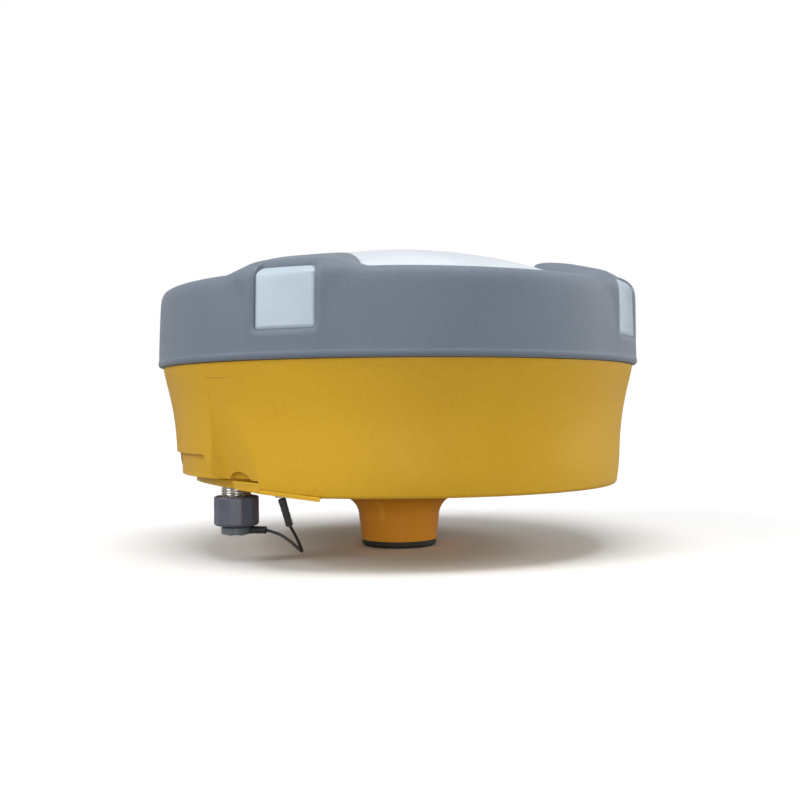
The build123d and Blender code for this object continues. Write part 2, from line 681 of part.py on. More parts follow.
def door_latch():
    """Sliding knob held by its flange in the track of the door."""
    flange = block(-7.6, 3.4, 86.7, 88.1, 53.5, 59.5)
    knob = block(-6.6, 2.4, 88.1, 91.4, 54.7, 58.3)
    for x in (-5.0, -3.0, -1.0, 1.0):
        knob += block(x - 0.4, x + 0.4, 91.4, 92.0, 55.2, 57.8)
    return flange + knob


def door_hinge_pin():
    return bar_x(HINGE_PIN_R, -28.4, 28.4, DOOR_AXIS_Y, DOOR_AXIS_Z)


# ---- control panel --------------------------------------------------------------------------------

def control_panel():
    panel = wall_band(PANEL_INNER_R, 0.5, PANEL_BOTTOM_Z, PANEL_TOP_Z)
    panel = panel & block(70, 100, -PANEL_HALF_W, PANEL_HALF_W, PANEL_BOTTOM_Z, PANEL_TOP_Z)
    panel -= bar_x(BUTTON_R + 0.2, 70, 100, 0, BUTTON_Z)
    for y in LENS_Y:
        panel -= bar_x(LENS_R, 70, 100, y, BUTTON_Z)
    return panel


def power_button():
    button = bar_x(BUTTON_R, 84.6, BUTTON_FACE_X, 0, BUTTON_Z)
    button += bar_x(BUTTON_R + 1.0, 84.6, 86.0, 0, BUTTON_Z)
    # a plain ring and bar on the face, as a generic power sign
    sign = bar_x(2.4, BUTTON_FACE_X - 0.3, 92, 0, BUTTON_Z) - bar_x(1.8, 80, 92, 0, BUTTON_Z)
    sign -= block(80, 95, -0.9, 0.9, BUTTON_Z, BUTTON_Z + 4)
    sign += block(BUTTON_FACE_X - 0.3, 92, -0.3, 0.3, BUTTON_Z + 0.6, BUTTON_Z + 2.8)
    return button - sign


def indicator_lenses():
    skin = wall_band(PANEL_INNER_R - 1.2, 0.7, PANEL_BOTTOM_Z, PANEL_TOP_Z)
    return group([skin & bar_x(LENS_R, 70, 100, y, BUTTON_Z) for y in LENS_Y])


def panel_board():
    return block(80.2, 81.8, -20, 20, 37.6, 56.4)


def tact_switch():
    return block(81.8, 83.0, -3, 3, BUTTON_Z - 3, BUTTON_Z + 3) + bar_x(1.7, 83.0, 83.6, 0, BUTTON_Z)


# ---- connectors -----------------------------------------------------------------------------------

TNC = at(PORT_R, TNC_AZIMUTH)
DATA = at(PORT_R, DATA_AZIMUTH)


def thread_ridges(radius, pitch, z0, z1):
    """Rings with the section of the thread, one for each turn."""
    ridges = []
    for turn in range(int((z1 - z0) / pitch)):
        z = z0 + turn * pitch
        ridges.append([(radius - 0.55, z), (radius, z + 0.4 * pitch), (radius, z + 0.6 * pitch),
                       (radius - 0.55, z + pitch)])
    return ridges


def tnc_barrel():
    """Threaded barrel that faces down, with a neck through the bay floor."""
    outline = [(3.4, TNC_END_Z), (TNC_THREAD_R - 0.55, TNC_END_Z)]
    for ridge in thread_ridges(TNC_THREAD_R, TNC_PITCH, TNC_END_Z + 0.3, 28.5):
        outline += ridge[:-1]
    outline += [(TNC_THREAD_R - 0.55, 28.5), (TNC_THREAD_R, 28.9), (TNC_THREAD_R, PLATE_TOP_Z),
                (TNC_NECK_R, PLATE_TOP_Z), (TNC_NECK_R, 37.5), (3.4, 37.5)]
    return Pos(TNC.X, TNC.Y, 0) * turned(outline)


def tnc_insulator():
    sleeve = disc(3.4, 22.5, 37.5, TNC.X, TNC.Y) - disc(0.7, 20, 40, TNC.X, TNC.Y)
    return sleeve + tube(2.2, 1.5, 20.0, 22.5, TNC.X, TNC.Y)


def tnc_center_pin():
    return disc(0.7, 20.6, 40.0, TNC.X, TNC.Y)


def tnc_nut():
    return hexagon(13.0, BAY_FLOOR_Z, BAY_FLOOR_Z + 2.8, TNC.X, TNC.Y) - disc(TNC_NECK_R, 30, 40, TNC.X, TNC.Y)


def dust_cap():
    """Faceted screw cap, open upwards."""
    facets = RegularPolygon(CAP_R, 12)
    body = extrude(Pos(0, 0, CAP_BOTTOM_Z) * facets, CAP_TOP_Z - CAP_BOTTOM_Z)
    body = body & turned([(0, CAP_BOTTOM_Z), (CAP_R - 0.9, CAP_BOTTOM_Z), (CAP_R, CAP_BOTTOM_Z + 0.9),
                          (CAP_R, CAP_TOP_Z - 0.7), (CAP_R - 0.7, CAP_TOP_Z), (0, CAP_TOP_Z)])
    body -= disc(CAP_BORE_R, CAP_FLOOR_Z, 30)
    body -= disc(RIVET_R, 5, 20)
    return Pos(TNC.X, TNC.Y, 0) * body


def cap_seal():
    return tube(CAP_BORE_R, 2.6, CAP_FLOOR_Z, CAP_FLOOR_Z + 0.8, TNC.X, TNC.Y)


def cap_rivet():
    """Rivet on which the swivel ring turns."""
    low = SWIVEL_BOTTOM_Z - 0.6
    shank = disc(RIVET_R, low, CAP_FLOOR_Z) + disc(2.5, CAP_FLOOR_Z, CAP_FLOOR_Z + 0.7)
    return Pos(TNC.X, TNC.Y, 0) * (shank + disc(3.2, low, SWIVEL_BOTTOM_Z - 0.1))


def cap_swivel_ring():
    """Disc under the cap, free to turn on the rivet."""
    ring = tube(SWIVEL_R, RIVET_R + 0.08, SWIVEL_BOTTOM_Z, SWIVEL_TOP_Z)
    ring = chamfer(ring.edges().filter_by(GeomType.CIRCLE).group_by(SortBy.RADIUS)[-1], 0.4)
    return Pos(TNC.X, TNC.Y, 0) * ring


def data_port_shell():
    shell = disc(DATA_SHELL_R, DATA_RECESS_Z + 0.2, PLATE_TOP_Z) + disc(DATA_NECK_R, PLATE_TOP_Z, 37.0)
    shell -= disc(4.3, 20, 40)
    nut = hexagon(13.0, BAY_FLOOR_Z, BAY_FLOOR_Z + 2.4) - disc(4.3, 20, 40)
    return Pos(DATA.X, DATA.Y, 0) * (shell + nut)


def pin_circle():
    return [(DATA.X, DATA.Y)] + [(DATA.X + 2.4 * cos(k * pi / 3), DATA.Y + 2.4 * sin(k * pi / 3))
                                 for k in range(6)]


def data_port_insert():
    insert = disc(4.3, 31.0, 37.0, DATA.X, DATA.Y)
    for x, y in pin_circle():
        insert -= disc(0.35, 20, 40, x, y)
    return insert


def data_port_pins():
    return group([disc(0.35, 29.6, 39.0, x, y) for x, y in pin_circle()])


def data_port_cover():
    """Rubber plug with a pull tab."""
    cover = disc(DATA_COVER_R, 26.9, 28.9, DATA.X, DATA.Y) + disc(4.0, 28.9, 30.8, DATA.X, DATA.Y)
    cover -= disc(3.2, 29.3, 32, DATA.X, DATA.Y)
    tab = block(DATA.X + 1.0, DATA.X + 5.0, DATA.Y - 2.0, DATA.Y + 2.0, 26.3, 26.9)
    return cover + tab


# ---- lanyard of the dust cap ----------------------------------------------------------------------

# route of the cord from the crimp on the cap to the crimp on the port plate
CORD_POINTS = [(-61.8, -26.9, 11.3), (-58.2, -31.0, 10.4), (-55.3, -35.6, 8.2), (-53.4, -39.0, 6.0),
               (-52.2, -41.2, 4.6), (-52.8, -43.2, 5.6), (-54.6, -45.4, 8.8), (-56.9, -47.9, 12.4),
               (-59.1, -50.4, 15.3)]


def corner_radii(points):
    """Each arc is as large as the runs beside it allow."""
    radii = []
    for a, b, c in zip(points, points[1:], points[2:]):
        before = Vector(*b) - Vector(*a)
        after = Vector(*c) - Vector(*b)
        turn = radians(before.get_angle(after))
        radii.append(0.45 * min(before.length, after.length) / tan(turn / 2))
    return radii


def cord_path():
    radii = corner_radii(CORD_POINTS)
    print("cord radii (mm):", [round(r, 2) for r in radii])
    return FilletPolyline(*CORD_POINTS, radius=radii)


def lanyard_cord():
    path = cord_path()
    section = Plane(path @ 0, z_dir=path % 0) * Circle(CORD_R)
    cord = sweep(section, path)
    print("cord length", round(path.length, 2), "volume ratio",
          round(cord.volume / (pi * CORD_R ** 2 * path.length), 4))
    return cord


def tapered(start, end, r0, r1):
    """Round tapered sleeve between two points."""
    axis = Vector(*end) - Vector(*start)
    middle = (Vector(*end) + Vector(*start)) / 2
    return Plane(middle, z_dir=axis) * Cone(r0, r1, axis.length)


def crimp_cap():
    """Sleeve that holds the cord to the swivel ring."""
    end = Vector(*CORD_POINTS[0])
    inward = (Vector(TNC.X, TNC.Y, end.Z) - end).normalized()
    sleeve = tapered(end + inward * CRIMP_GAP, end + inward * 7.0, 1.35, 1.15)
    return sleeve - Pos(TNC.X, TNC.Y, 0) * disc(SWIVEL_R, 5, 20)


def crimp_anchor():
    """Sleeve that hangs the other end of the cord from the port plate."""
    low = Vector(*CORD_POINTS[-1])
    high = Vector(*LANYARD_ANCHOR, LANYARD_SEAT_Z)
    return tapered(low, high, 1.35, 1.2) & disc(200, 0, LANYARD_HEAD_Z)


def lanyard_screw():
    x, y = LANYARD_ANCHOR
    head = disc(2.2, LANYARD_HEAD_Z, LANYARD_SEAT_Z, x, y)
    return head + disc(LANYARD_SCREW_R, LANYARD_SEAT_Z, 32.0, x, y)


# ---- the nodes ------------------------------------------------------------------------------------

NODES = {
    "lower_housing": lower_housing, "pole_neck": pole_neck, "port_plate": port_plate,
    "port_plate_screws": port_plate_screws,
    "pole_insert": pole_insert, "neck_washer": neck_washer, "housing_gasket": housing_gasket,
    "housing_screws": housing_screws, "vent_plug": vent_plug, "radome": radome,
    "bumper_ring": bumper_ring, "chassis": chassis, "board_standoffs": board_standoffs,
    "antenna_standoffs": antenna_standoffs, "board_screws": board_screws,
    "main_board_chips": main_board_chips, "ground_plane": ground_plane, "lower_patch": lower_patch,
    "upper_patch": upper_patch, "patch_foils": patch_foils, "feed_pins": feed_pins,
    "radio_module": radio_module, "battery_tray": battery_tray, "battery_pack": battery_pack,
    "battery_contacts": battery_contacts, "battery_door": battery_door, "door_gasket": door_gasket,
    "door_latch": door_latch, "door_hinge_pin": door_hinge_pin, "control_panel": control_panel,
    "power_button": power_button, "indicator_lenses": indicator_lenses, "panel_board": panel_board,
    "tact_switch": tact_switch, "tnc_barrel": tnc_barrel, "tnc_insulator": tnc_insulator,
    "tnc_center_pin": tnc_center_pin, "tnc_nut": tnc_nut, "dust_cap": dust_cap, "cap_seal": cap_seal,
    "cap_rivet": cap_rivet, "cap_swivel_ring": cap_swivel_ring, "data_port_shell": data_port_shell,
    "data_port_insert": data_port_insert, "data_port_pins": data_port_pins,
    "data_port_cover": data_port_cover, "lanyard_cord": lanyard_cord, "crimp_cap": crimp_cap,
    "crimp_anchor": crimp_anchor, "lanyard_screw": lanyard_screw,
}


def main():
    os.makedirs("parts", exist_ok=True)
    for node, build in NODES.items():
        save(build(), node)
    for number, azimuth in enumerate(PAD_AZIMUTHS, start=1):
        save(bumper_pad(azimuth), f"bumper_pad_{number}")
    save(board(BOARD_R, MAIN_BOARD_Z, CHASSIS_POSTS), "main_board")
    save(drilled(board(70.0, ANTENNA_BOARD_Z, CHASSIS_POSTS), 0.5), "antenna_board")
    top = MAIN_BOARD_Z + BOARD_T
    save(shield_can(-32, 4, -25, 25, top, top + 4.4, open_up=False), "main_shield")
    save(shield_can(-22, 22, -22, 22, ANTENNA_BOARD_Z - 4.5, ANTENNA_BOARD_Z, open_up=True), "antenna_shield")


main()
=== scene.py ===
import json
from math import cos, degrees, pi, radians, sin, sqrt

import bmesh
import bpy
from mathutils import Matrix, Vector


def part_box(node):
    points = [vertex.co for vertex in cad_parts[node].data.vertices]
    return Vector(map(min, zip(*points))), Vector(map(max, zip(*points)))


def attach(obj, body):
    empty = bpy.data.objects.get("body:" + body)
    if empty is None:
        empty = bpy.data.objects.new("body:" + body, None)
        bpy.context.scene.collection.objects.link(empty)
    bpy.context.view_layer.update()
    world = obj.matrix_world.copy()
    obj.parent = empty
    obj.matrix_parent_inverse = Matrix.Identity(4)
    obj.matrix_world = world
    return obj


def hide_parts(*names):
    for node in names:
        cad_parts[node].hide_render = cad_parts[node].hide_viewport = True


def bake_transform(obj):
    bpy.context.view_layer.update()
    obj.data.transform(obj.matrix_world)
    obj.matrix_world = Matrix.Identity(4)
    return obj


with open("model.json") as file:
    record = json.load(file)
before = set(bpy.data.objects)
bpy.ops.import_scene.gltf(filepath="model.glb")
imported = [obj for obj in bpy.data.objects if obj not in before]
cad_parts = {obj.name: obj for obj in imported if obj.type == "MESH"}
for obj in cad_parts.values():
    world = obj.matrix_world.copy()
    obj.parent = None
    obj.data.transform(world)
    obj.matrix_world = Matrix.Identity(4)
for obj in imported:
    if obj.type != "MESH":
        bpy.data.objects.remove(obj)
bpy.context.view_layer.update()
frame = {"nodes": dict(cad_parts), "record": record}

MM = 0.001
NODES = frame["nodes"]

# Sizes of the CAD model, in millimetres and degrees, that the pieces below are built on.
DOME_R = 200.0
DOME_TOP = 117.3
DOME_EDGE_R = 75.8
PAD_AZIMUTHS = (-44.0, 44.0, 136.0, -136.0)
PAD_HALF_ANGLE = 6.8
PAD_RADIUS = 94.4
CORD_DIAMETER = 1.1

CORD_POINTS = [(-61.8, -26.9, 11.3), (-58.2, -31.0, 10.4), (-55.3, -35.6, 8.2), (-53.4, -39.0, 6.0),
               (-52.2, -41.2, 4.6), (-52.8, -43.2, 5.6), (-54.6, -45.4, 8.8), (-56.9, -47.9, 12.4),
               (-59.1, -50.4, 15.3)]


# ---- camera, light and floor ----------------------------------------------------------------------

CAMERA_AZIMUTH = -20.7
CAMERA_DISTANCE = 426.0
CAMERA_HEIGHT = 53.8
CAMERA_PITCH = 0.62
CAMERA_ROLL = -0.45
CAMERA_TURN = -0.10
LENS = 47.1
AIM = Vector((0, 0, 0.06))

# name, azimuth, elevation, distance (m), size (m), power (W)
LIGHTS = (
    ("key", -84, 30, 1.6, 1.0, 13.0),
    ("top", -20, 72, 1.5, 1.0, 17.0),
    ("side", 78, 20, 1.7, 1.2, 15.5),
    ("front", -18, 0, 1.8, 0.9, 12.0),
)
FLOOR_RADIUS = 4.0
FLOOR_DROP = 0.0002
WHITE = (1.0, 1.0, 1.0, 1.0)


def make_camera():
    data = bpy.data.cameras.new("camera")
    data.lens = LENS
    data.sensor_width = 36.0
    data.clip_start = 0.01
    camera = bpy.data.objects.new("camera", data)
    bpy.context.scene.collection.objects.link(camera)
    a = radians(CAMERA_AZIMUTH)
    away = Vector((sin(a), -cos(a), 0.0))
    camera.location = away * CAMERA_DISTANCE * MM + Vector((0, 0, CAMERA_HEIGHT * MM))
    level = Matrix.Rotation(a + radians(CAMERA_TURN), 4, "Z") @ Matrix.Rotation(radians(90.0), 4, "X")
    tilt = Matrix.Rotation(radians(CAMERA_PITCH), 4, "X") @ Matrix.Rotation(radians(CAMERA_ROLL), 4, "Z")
    camera.rotation_euler = (level @ tilt).to_euler()
    bpy.context.scene.camera = camera


def area_light(name, azimuth, elevation, distance, size, power):
    """Round soft light that looks at the middle of the receiver."""
    data = bpy.data.lights.new(name, "AREA")
    data.shape = "DISK"
    data.size = size
    data.energy = power
    lamp = bpy.data.objects.new(name, data)
    a, e = radians(azimuth), radians(elevation)
    back = Vector((sin(a) * cos(e), -cos(a) * cos(e), sin(e)))
    lamp.location = back * distance + AIM
    lamp.rotation_euler = back.to_track_quat("Z", "Y").to_euler()
    bpy.context.scene.collection.objects.link(lamp)


def make_world():
    """White studio walls with soft dark flags between them, which only light and reflections see."""
    world = bpy.data.worlds.new("studio")
    world.use_nodes = True
    tree = world.node_tree
    background = tree.nodes["Background"]
    background.inputs["Color"].default_value = WHITE
    flags = tree.nodes.new("ShaderNodeTexWave")
    flags.bands_direction = "X"
    set_inputs(flags, {"Scale": 0.75, "Phase Offset": 0.6})
    tree.links.new(tree.nodes.new("ShaderNodeTexCoord").outputs["Generated"], flags.inputs["Vector"])
    light = map_range(tree, flags.outputs["Fac"], 0.15, 0.75, 0.12, 0.52)
    path = tree.nodes.new("ShaderNodeLightPath")
    seen = tree.nodes.new("ShaderNodeMix")
    seen.inputs["B"].default_value = 1.0
    tree.links.new(path.outputs["Is Camera Ray"], seen.inputs["Factor"])
    tree.links.new(light, seen.inputs["A"])
    tree.links.new(seen.outputs["Result"], background.inputs["Strength"])
    bpy.context.scene.world = world
    bpy.context.scene.view_settings.view_transform = "Standard"


def make_floor():
    """Pale floor. It throws less light back than it shows, so that the undersides stay dark."""
    bm = bmesh.new()
    bmesh.ops.create_circle(bm, cap_ends=True, segments=96, radius=FLOOR_RADIUS)
    floor = mesh_object("floor", bm)
    floor.location.z = -FLOOR_DROP
    mat, tree, shader = new_material("floor")
    set_inputs(shader, {"Roughness": 0.9, "Specular IOR Level": 0.2})
    pale = ramp(tree, add_noise(tree, 6.0, 3.0), [(0.3, (0.84, 0.84, 0.84)), (0.7, (0.88, 0.88, 0.88))])
    seen = tree.nodes.new("ShaderNodeLightPath").outputs["Is Camera Ray"]
    tree.links.new(mix_colours(tree, seen, (0.42, 0.42, 0.42), pale), shader.inputs["Base Color"])
    # the far floor looks brighter, so that it runs into the white wall behind it
    away = tree.nodes.new("ShaderNodeVectorMath")
    away.operation = "LENGTH"
    tree.links.new(coordinates(tree), away.inputs[0])
    glow = tree.nodes.new("ShaderNodeMath")
    glow.operation = "MULTIPLY"
    tree.links.new(map_range(tree, away.outputs["Value"], 0.35, 1.4, 0.0, 0.72), glow.inputs[0])
    tree.links.new(seen, glow.inputs[1])
    shader.inputs["Emission Color"].default_value = WHITE
    tree.links.new(glow.outputs["Value"], shader.inputs["Emission Strength"])
    # the floor has one side only, so that the underside of the receiver can be looked at through it
    back = tree.nodes.new("ShaderNodeNewGeometry").outputs["Backfacing"]
    tree.links.new(map_range(tree, back, 0.0, 1.0, 1.0, 0.0), shader.inputs["Alpha"])
    floor.data.materials.append(mat)


# ---- mesh helpers ---------------------------------------------------------------------------------

def mesh_object(name, bm):
    mesh = bpy.data.meshes.new(name)
    bm.normal_update()
    bm.to_mesh(mesh)
    bm.free()
    obj = bpy.data.objects.new(name, mesh)
    bpy.context.scene.collection.objects.link(obj)
    return obj


def shade_smooth(obj, angle):
    """Smooth shading with sharp edges kept above an angle."""
    mesh = obj.data
    for face in mesh.polygons:
        face.use_smooth = True
    mesh.set_sharp_from_angle(angle=radians(angle))


def add_columns(bm, columns):
    return [[bm.verts.new(p) for p in column] for column in columns]


def add_quads(bm, a, b):
    """Row of faces between two columns of vertices."""
    for i in range(len(a) - 1):
        bm.faces.new((a[i], b[i], b[i + 1], a[i + 1]))


def closed_grid_object(name, columns):
    """Mesh from columns of points that go right round, with the same count in each column."""
    bm = bmesh.new()
    rows = add_columns(bm, columns)
    for a, b in zip(rows, rows[1:] + rows[:1]):
        add_quads(bm, a, b)
    piece = mesh_object(name, bm)
    weld(piece)
    return piece


def weld(obj, distance=0.000001):
    bm = bmesh.new()
    bm.from_mesh(obj.data)
    bmesh.ops.remove_doubles(bm, verts=bm.verts, dist=distance)
    bmesh.ops.recalc_face_normals(bm, faces=bm.faces)
    bm.to_mesh(obj.data)
    bm.free()


def place(obj, material, body, node):
    """Give a piece its material, and let it stand for a CAD node that rides on a body."""
    obj.data.materials.clear()
    obj.data.materials.append(material)
    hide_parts(node)
    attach(obj, body)
    return obj


def node_middle(node):
    low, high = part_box(node)
    return (low + high) / 2


def smoothstep(x):
    x = min(1.0, max(0.0, x))
    return x * x * (3 - 2 * x)


def polar_point(radius, azimuth, z):
    a = radians(azimuth)
    return Vector((radius * sin(a), -radius * cos(a), z)) * MM


# ---- material helpers -----------------------------------------------------------------------------

def new_material(name):
    mat = bpy.data.materials.new(name)
    mat.use_nodes = True
    tree = mat.node_tree
    return mat, tree, tree.nodes["Principled BSDF"]


def set_inputs(node, values):
    for key, value in values.items():
        node.inputs[key].default_value = value


def coordinates(tree):
    return tree.nodes.new("ShaderNodeTexCoord").outputs["Object"]


def add_noise(tree, scale, detail, rough=0.5, stretch=None):
    """Noise in object space. Scale is in features for each metre."""
    noise = tree.nodes.new("ShaderNodeTexNoise")
    set_inputs(noise, {"Scale": scale, "Detail": detail, "Roughness": rough})
    source = coordinates(tree)
    if stretch:
        mapping = tree.nodes.new("ShaderNodeMapping")
        mapping.inputs["Scale"].default_value = stretch
        tree.links.new(source, mapping.inputs["Vector"])
        source = mapping.outputs["Vector"]
    tree.links.new(source, noise.inputs["Vector"])
    return noise.outputs["Fac"]


def ramp(tree, source, stops):
    node = tree.nodes.new("ShaderNodeValToRGB")
    elements = node.color_ramp.elements
    while len(elements) < len(stops):
        elements.new(0.5)
    for element, (position, colour) in zip(elements, stops):
        element.position = position
        element.color = (*colour, 1.0)
    tree.links.new(source, node.inputs["Fac"])
    return node.outputs["Color"]


def map_range(tree, source, low, high, to_low, to_high):
    node = tree.nodes.new("ShaderNodeMapRange")
    set_inputs(node, {"From Min": low, "From Max": high, "To Min": to_low, "To Max": to_high})
    tree.links.new(source, node.inputs["Value"])
    return node.outputs["Result"]


def bump_into(tree, shader, layers):
    """Stack bump layers, each a (height, distance in metres, strength)."""
    normal = None
    for height, distance, strength in layers:
        node = tree.nodes.new("ShaderNodeBump")
        set_inputs(node, {"Distance": distance, "Strength": strength})
        tree.links.new(height, node.inputs["Height"])
        if normal:
            tree.links.new(normal, node.inputs["Normal"])
        normal = node.outputs["Normal"]
    tree.links.new(normal, shader.inputs["Normal"])


def mix_colours(tree, factor, a, b):
    node = tree.nodes.new("ShaderNodeMix")
    node.data_type = "RGBA"
    # sockets 0, 6 and 7 are the factor and the two colours of a colour mix
    for value, socket in ((factor, node.inputs[0]), (a, node.inputs[6]), (b, node.inputs[7])):
        if isinstance(value, float):
            socket.default_value = value
        elif isinstance(value, tuple):
            socket.default_value = (*value, 1.0)
        else:
            tree.links.new(value, socket)
    return node.outputs[2]


def edge_wear_and_highlight(tree, amount):
    """The amount on convex edges, and 0 elsewhere: a mask for rubbed edges and for a painted edge
    highlight.
    """
    geometry = tree.nodes.new("ShaderNodeNewGeometry")
    edges = map_range(tree, geometry.outputs["Pointiness"], 0.52, 0.60, 0.0, 1.0)
    return map_range(tree, edges, 0, 1, 0, amount)


def roughness_into(tree, shader, source, smooth, rough):
    """Roughness that follows a noise."""
    tree.links.new(map_range(tree, source, 0.3, 0.7, smooth, rough), shader.inputs["Roughness"])


def paler(colour, gain):
    return tuple(min(1.0, c * gain + 0.02) for c in colour)


# ---- materials ------------------------------------------------------------------------------------

def painted_yellow(name, low, high):
    """Satin two-coat paint on a moulded shell: slow tone changes, orange peel, and paler convex edges that
    are partly rubbed paint and partly a painted highlight.
    """
    mat, tree, shader = new_material(name)
    set_inputs(shader, {"Specular IOR Level": 0.22, "Coat Weight": 0.05, "Coat Roughness": 0.35})
    broad = add_noise(tree, 22.0, 3.0)
    fine = add_noise(tree, 900.0, 2.0)
    tone = ramp(tree, broad, [(0.25, low), (0.75, high)])
    dark = tuple(c * 0.6 for c in low)
    pale = paler(high, 1.35)
    tone = mix_colours(tree, 0.06, tone, ramp(tree, fine, [(0.35, dark), (0.65, pale)]))
    # paler convex edges: partly rubbed paint, partly a painted edge highlight
    tone = mix_colours(tree, edge_wear_and_highlight(tree, 0.45), tone, pale)
    tree.links.new(tone, shader.inputs["Base Color"])
    roughness_into(tree, shader, broad, 0.40, 0.50)
    orange_peel = add_noise(tree, 1100.0, 2.0)
    sink = add_noise(tree, 160.0, 1.0)
    bump_into(tree, shader, [(orange_peel, 0.00006, 0.35), (sink, 0.0002, 0.10)])
    return mat


def bumper_rubber():
    """Moulded slate rubber with a spark-eroded grain and slight bloom."""
    mat, tree, shader = new_material("bumper_rubber")
    set_inputs(shader, {"Specular IOR Level": 0.38, "Sheen Weight": 0.12, "Sheen Roughness": 0.5})
    broad = add_noise(tree, 35.0, 4.0)
    grain = add_noise(tree, 1500.0, 3.0)
    tone = ramp(tree, broad, [(0.25, (0.112, 0.142, 0.184)), (0.75, (0.134, 0.166, 0.210))])
    speck = ramp(tree, grain, [(0.35, (0.09, 0.11, 0.14)), (0.65, (0.24, 0.27, 0.31))])
    tone = mix_colours(tree, 0.10, tone, speck)
    # paler convex edges: partly rubbed rubber, partly a painted edge highlight
    worn_and_highlit = mix_colours(tree, edge_wear_and_highlight(tree, 0.2), tone, (0.29, 0.32, 0.36))
    tree.links.new(worn_and_highlit, shader.inputs["Base Color"])
    roughness_into(tree, shader, broad, 0.56, 0.68)
    # parting line of the mould, in the plane x = 0
    axes = tree.nodes.new("ShaderNodeSeparateXYZ")
    tree.links.new(coordinates(tree), axes.inputs["Vector"])
    side = tree.nodes.new("ShaderNodeMath")
    side.operation = "ABSOLUTE"
    tree.links.new(axes.outputs["X"], side.inputs[0])
    parting = map_range(tree, side.outputs["Value"], 0.0, 0.0003, 1.0, 0.0)
    bump_into(tree, shader, [(grain, 0.0001, 0.45), (add_noise(tree, 260.0, 2.0), 0.0002, 0.10),
                             (parting, 0.00015, 0.8)])
    return mat


def moulded(name, low, high, roughness, grain_scale=1400.0, grain=0.3, specular=0.45):
    """Moulded plastic or rubber: two close tones, a fine grain, and paler edges that are partly wear and
    partly a painted highlight.
    """
    mat, tree, shader = new_material(name)
    set_inputs(shader, {"Specular IOR Level": specular})
    broad = add_noise(tree, 60.0, 3.0)
    tone = ramp(tree, broad, [(0.3, low), (0.7, high)])
    pale = paler(high, 1.25)
    # paler convex edges: partly wear, partly a painted edge highlight
    tone = mix_colours(tree, edge_wear_and_highlight(tree, 0.4), tone, pale)
    tree.links.new(tone, shader.inputs["Base Color"])
    roughness_into(tree, shader, broad, roughness - 0.05, roughness + 0.06)
    bump_into(tree, shader, [(add_noise(tree, grain_scale, 2.0), 0.00008, grain)])
    return mat


def metal(name, low, high, roughness, stretch=(1, 1, 1)):
    """Machined or plated metal with fine tool marks, stretched along the cut."""
    mat, tree, shader = new_material(name)
    set_inputs(shader, {"Metallic": 1.0})
    marks = add_noise(tree, 900.0, 4.0, 0.6, stretch)
    stains = add_noise(tree, 80.0, 3.0)
    tone = mix_colours(tree, 0.5, ramp(tree, marks, [(0.3, low), (0.7, high)]),
                       ramp(tree, stains, [(0.35, low), (0.6, high)]))
    tree.links.new(tone, shader.inputs["Base Color"])
    roughness_into(tree, shader, stains, roughness - 0.06, roughness + 0.10)
    bump_into(tree, shader, [(marks, 0.00005, 0.3)])
    return mat


def circuit_board():
    """Green solder mask with the faint relief of the tracks."""
    mat, tree, shader = new_material("circuit_board")
    set_inputs(shader, {"Specular IOR Level": 0.5, "Coat Weight": 0.3, "Coat Roughness": 0.2})
    brick = tree.nodes.new("ShaderNodeTexBrick")
    set_inputs(brick, {"Scale": 160.0, "Mortar Size": 0.12, "Color1": (0.010, 0.110, 0.045, 1),
                       "Color2": (0.013, 0.135, 0.055, 1), "Mortar": (0.02, 0.19, 0.08, 1)})
    tree.links.new(coordinates(tree), brick.inputs["Vector"])
    tree.links.new(brick.outputs["Color"], shader.inputs["Base Color"])
    roughness_into(tree, shader, add_noise(tree, 120.0, 2.0), 0.30, 0.42)
    bump_into(tree, shader, [(brick.outputs["Fac"], 0.00006, 0.4)])
    return mat


def lens_plastic():
    """Clear green window over a status lamp."""
    mat, tree, shader = new_material("lens")
    set_inputs(shader, {"Roughness": 0.12, "Specular IOR Level": 0.6, "Coat Weight": 0.6,
                        "Coat Roughness": 0.05})
    tone = ramp(tree, add_noise(tree, 300.0, 2.0), [(0.3, (0.30, 0.46, 0.34)), (0.7, (0.42, 0.58, 0.44))])
    tree.links.new(tone, shader.inputs["Base Color"])
    return mat


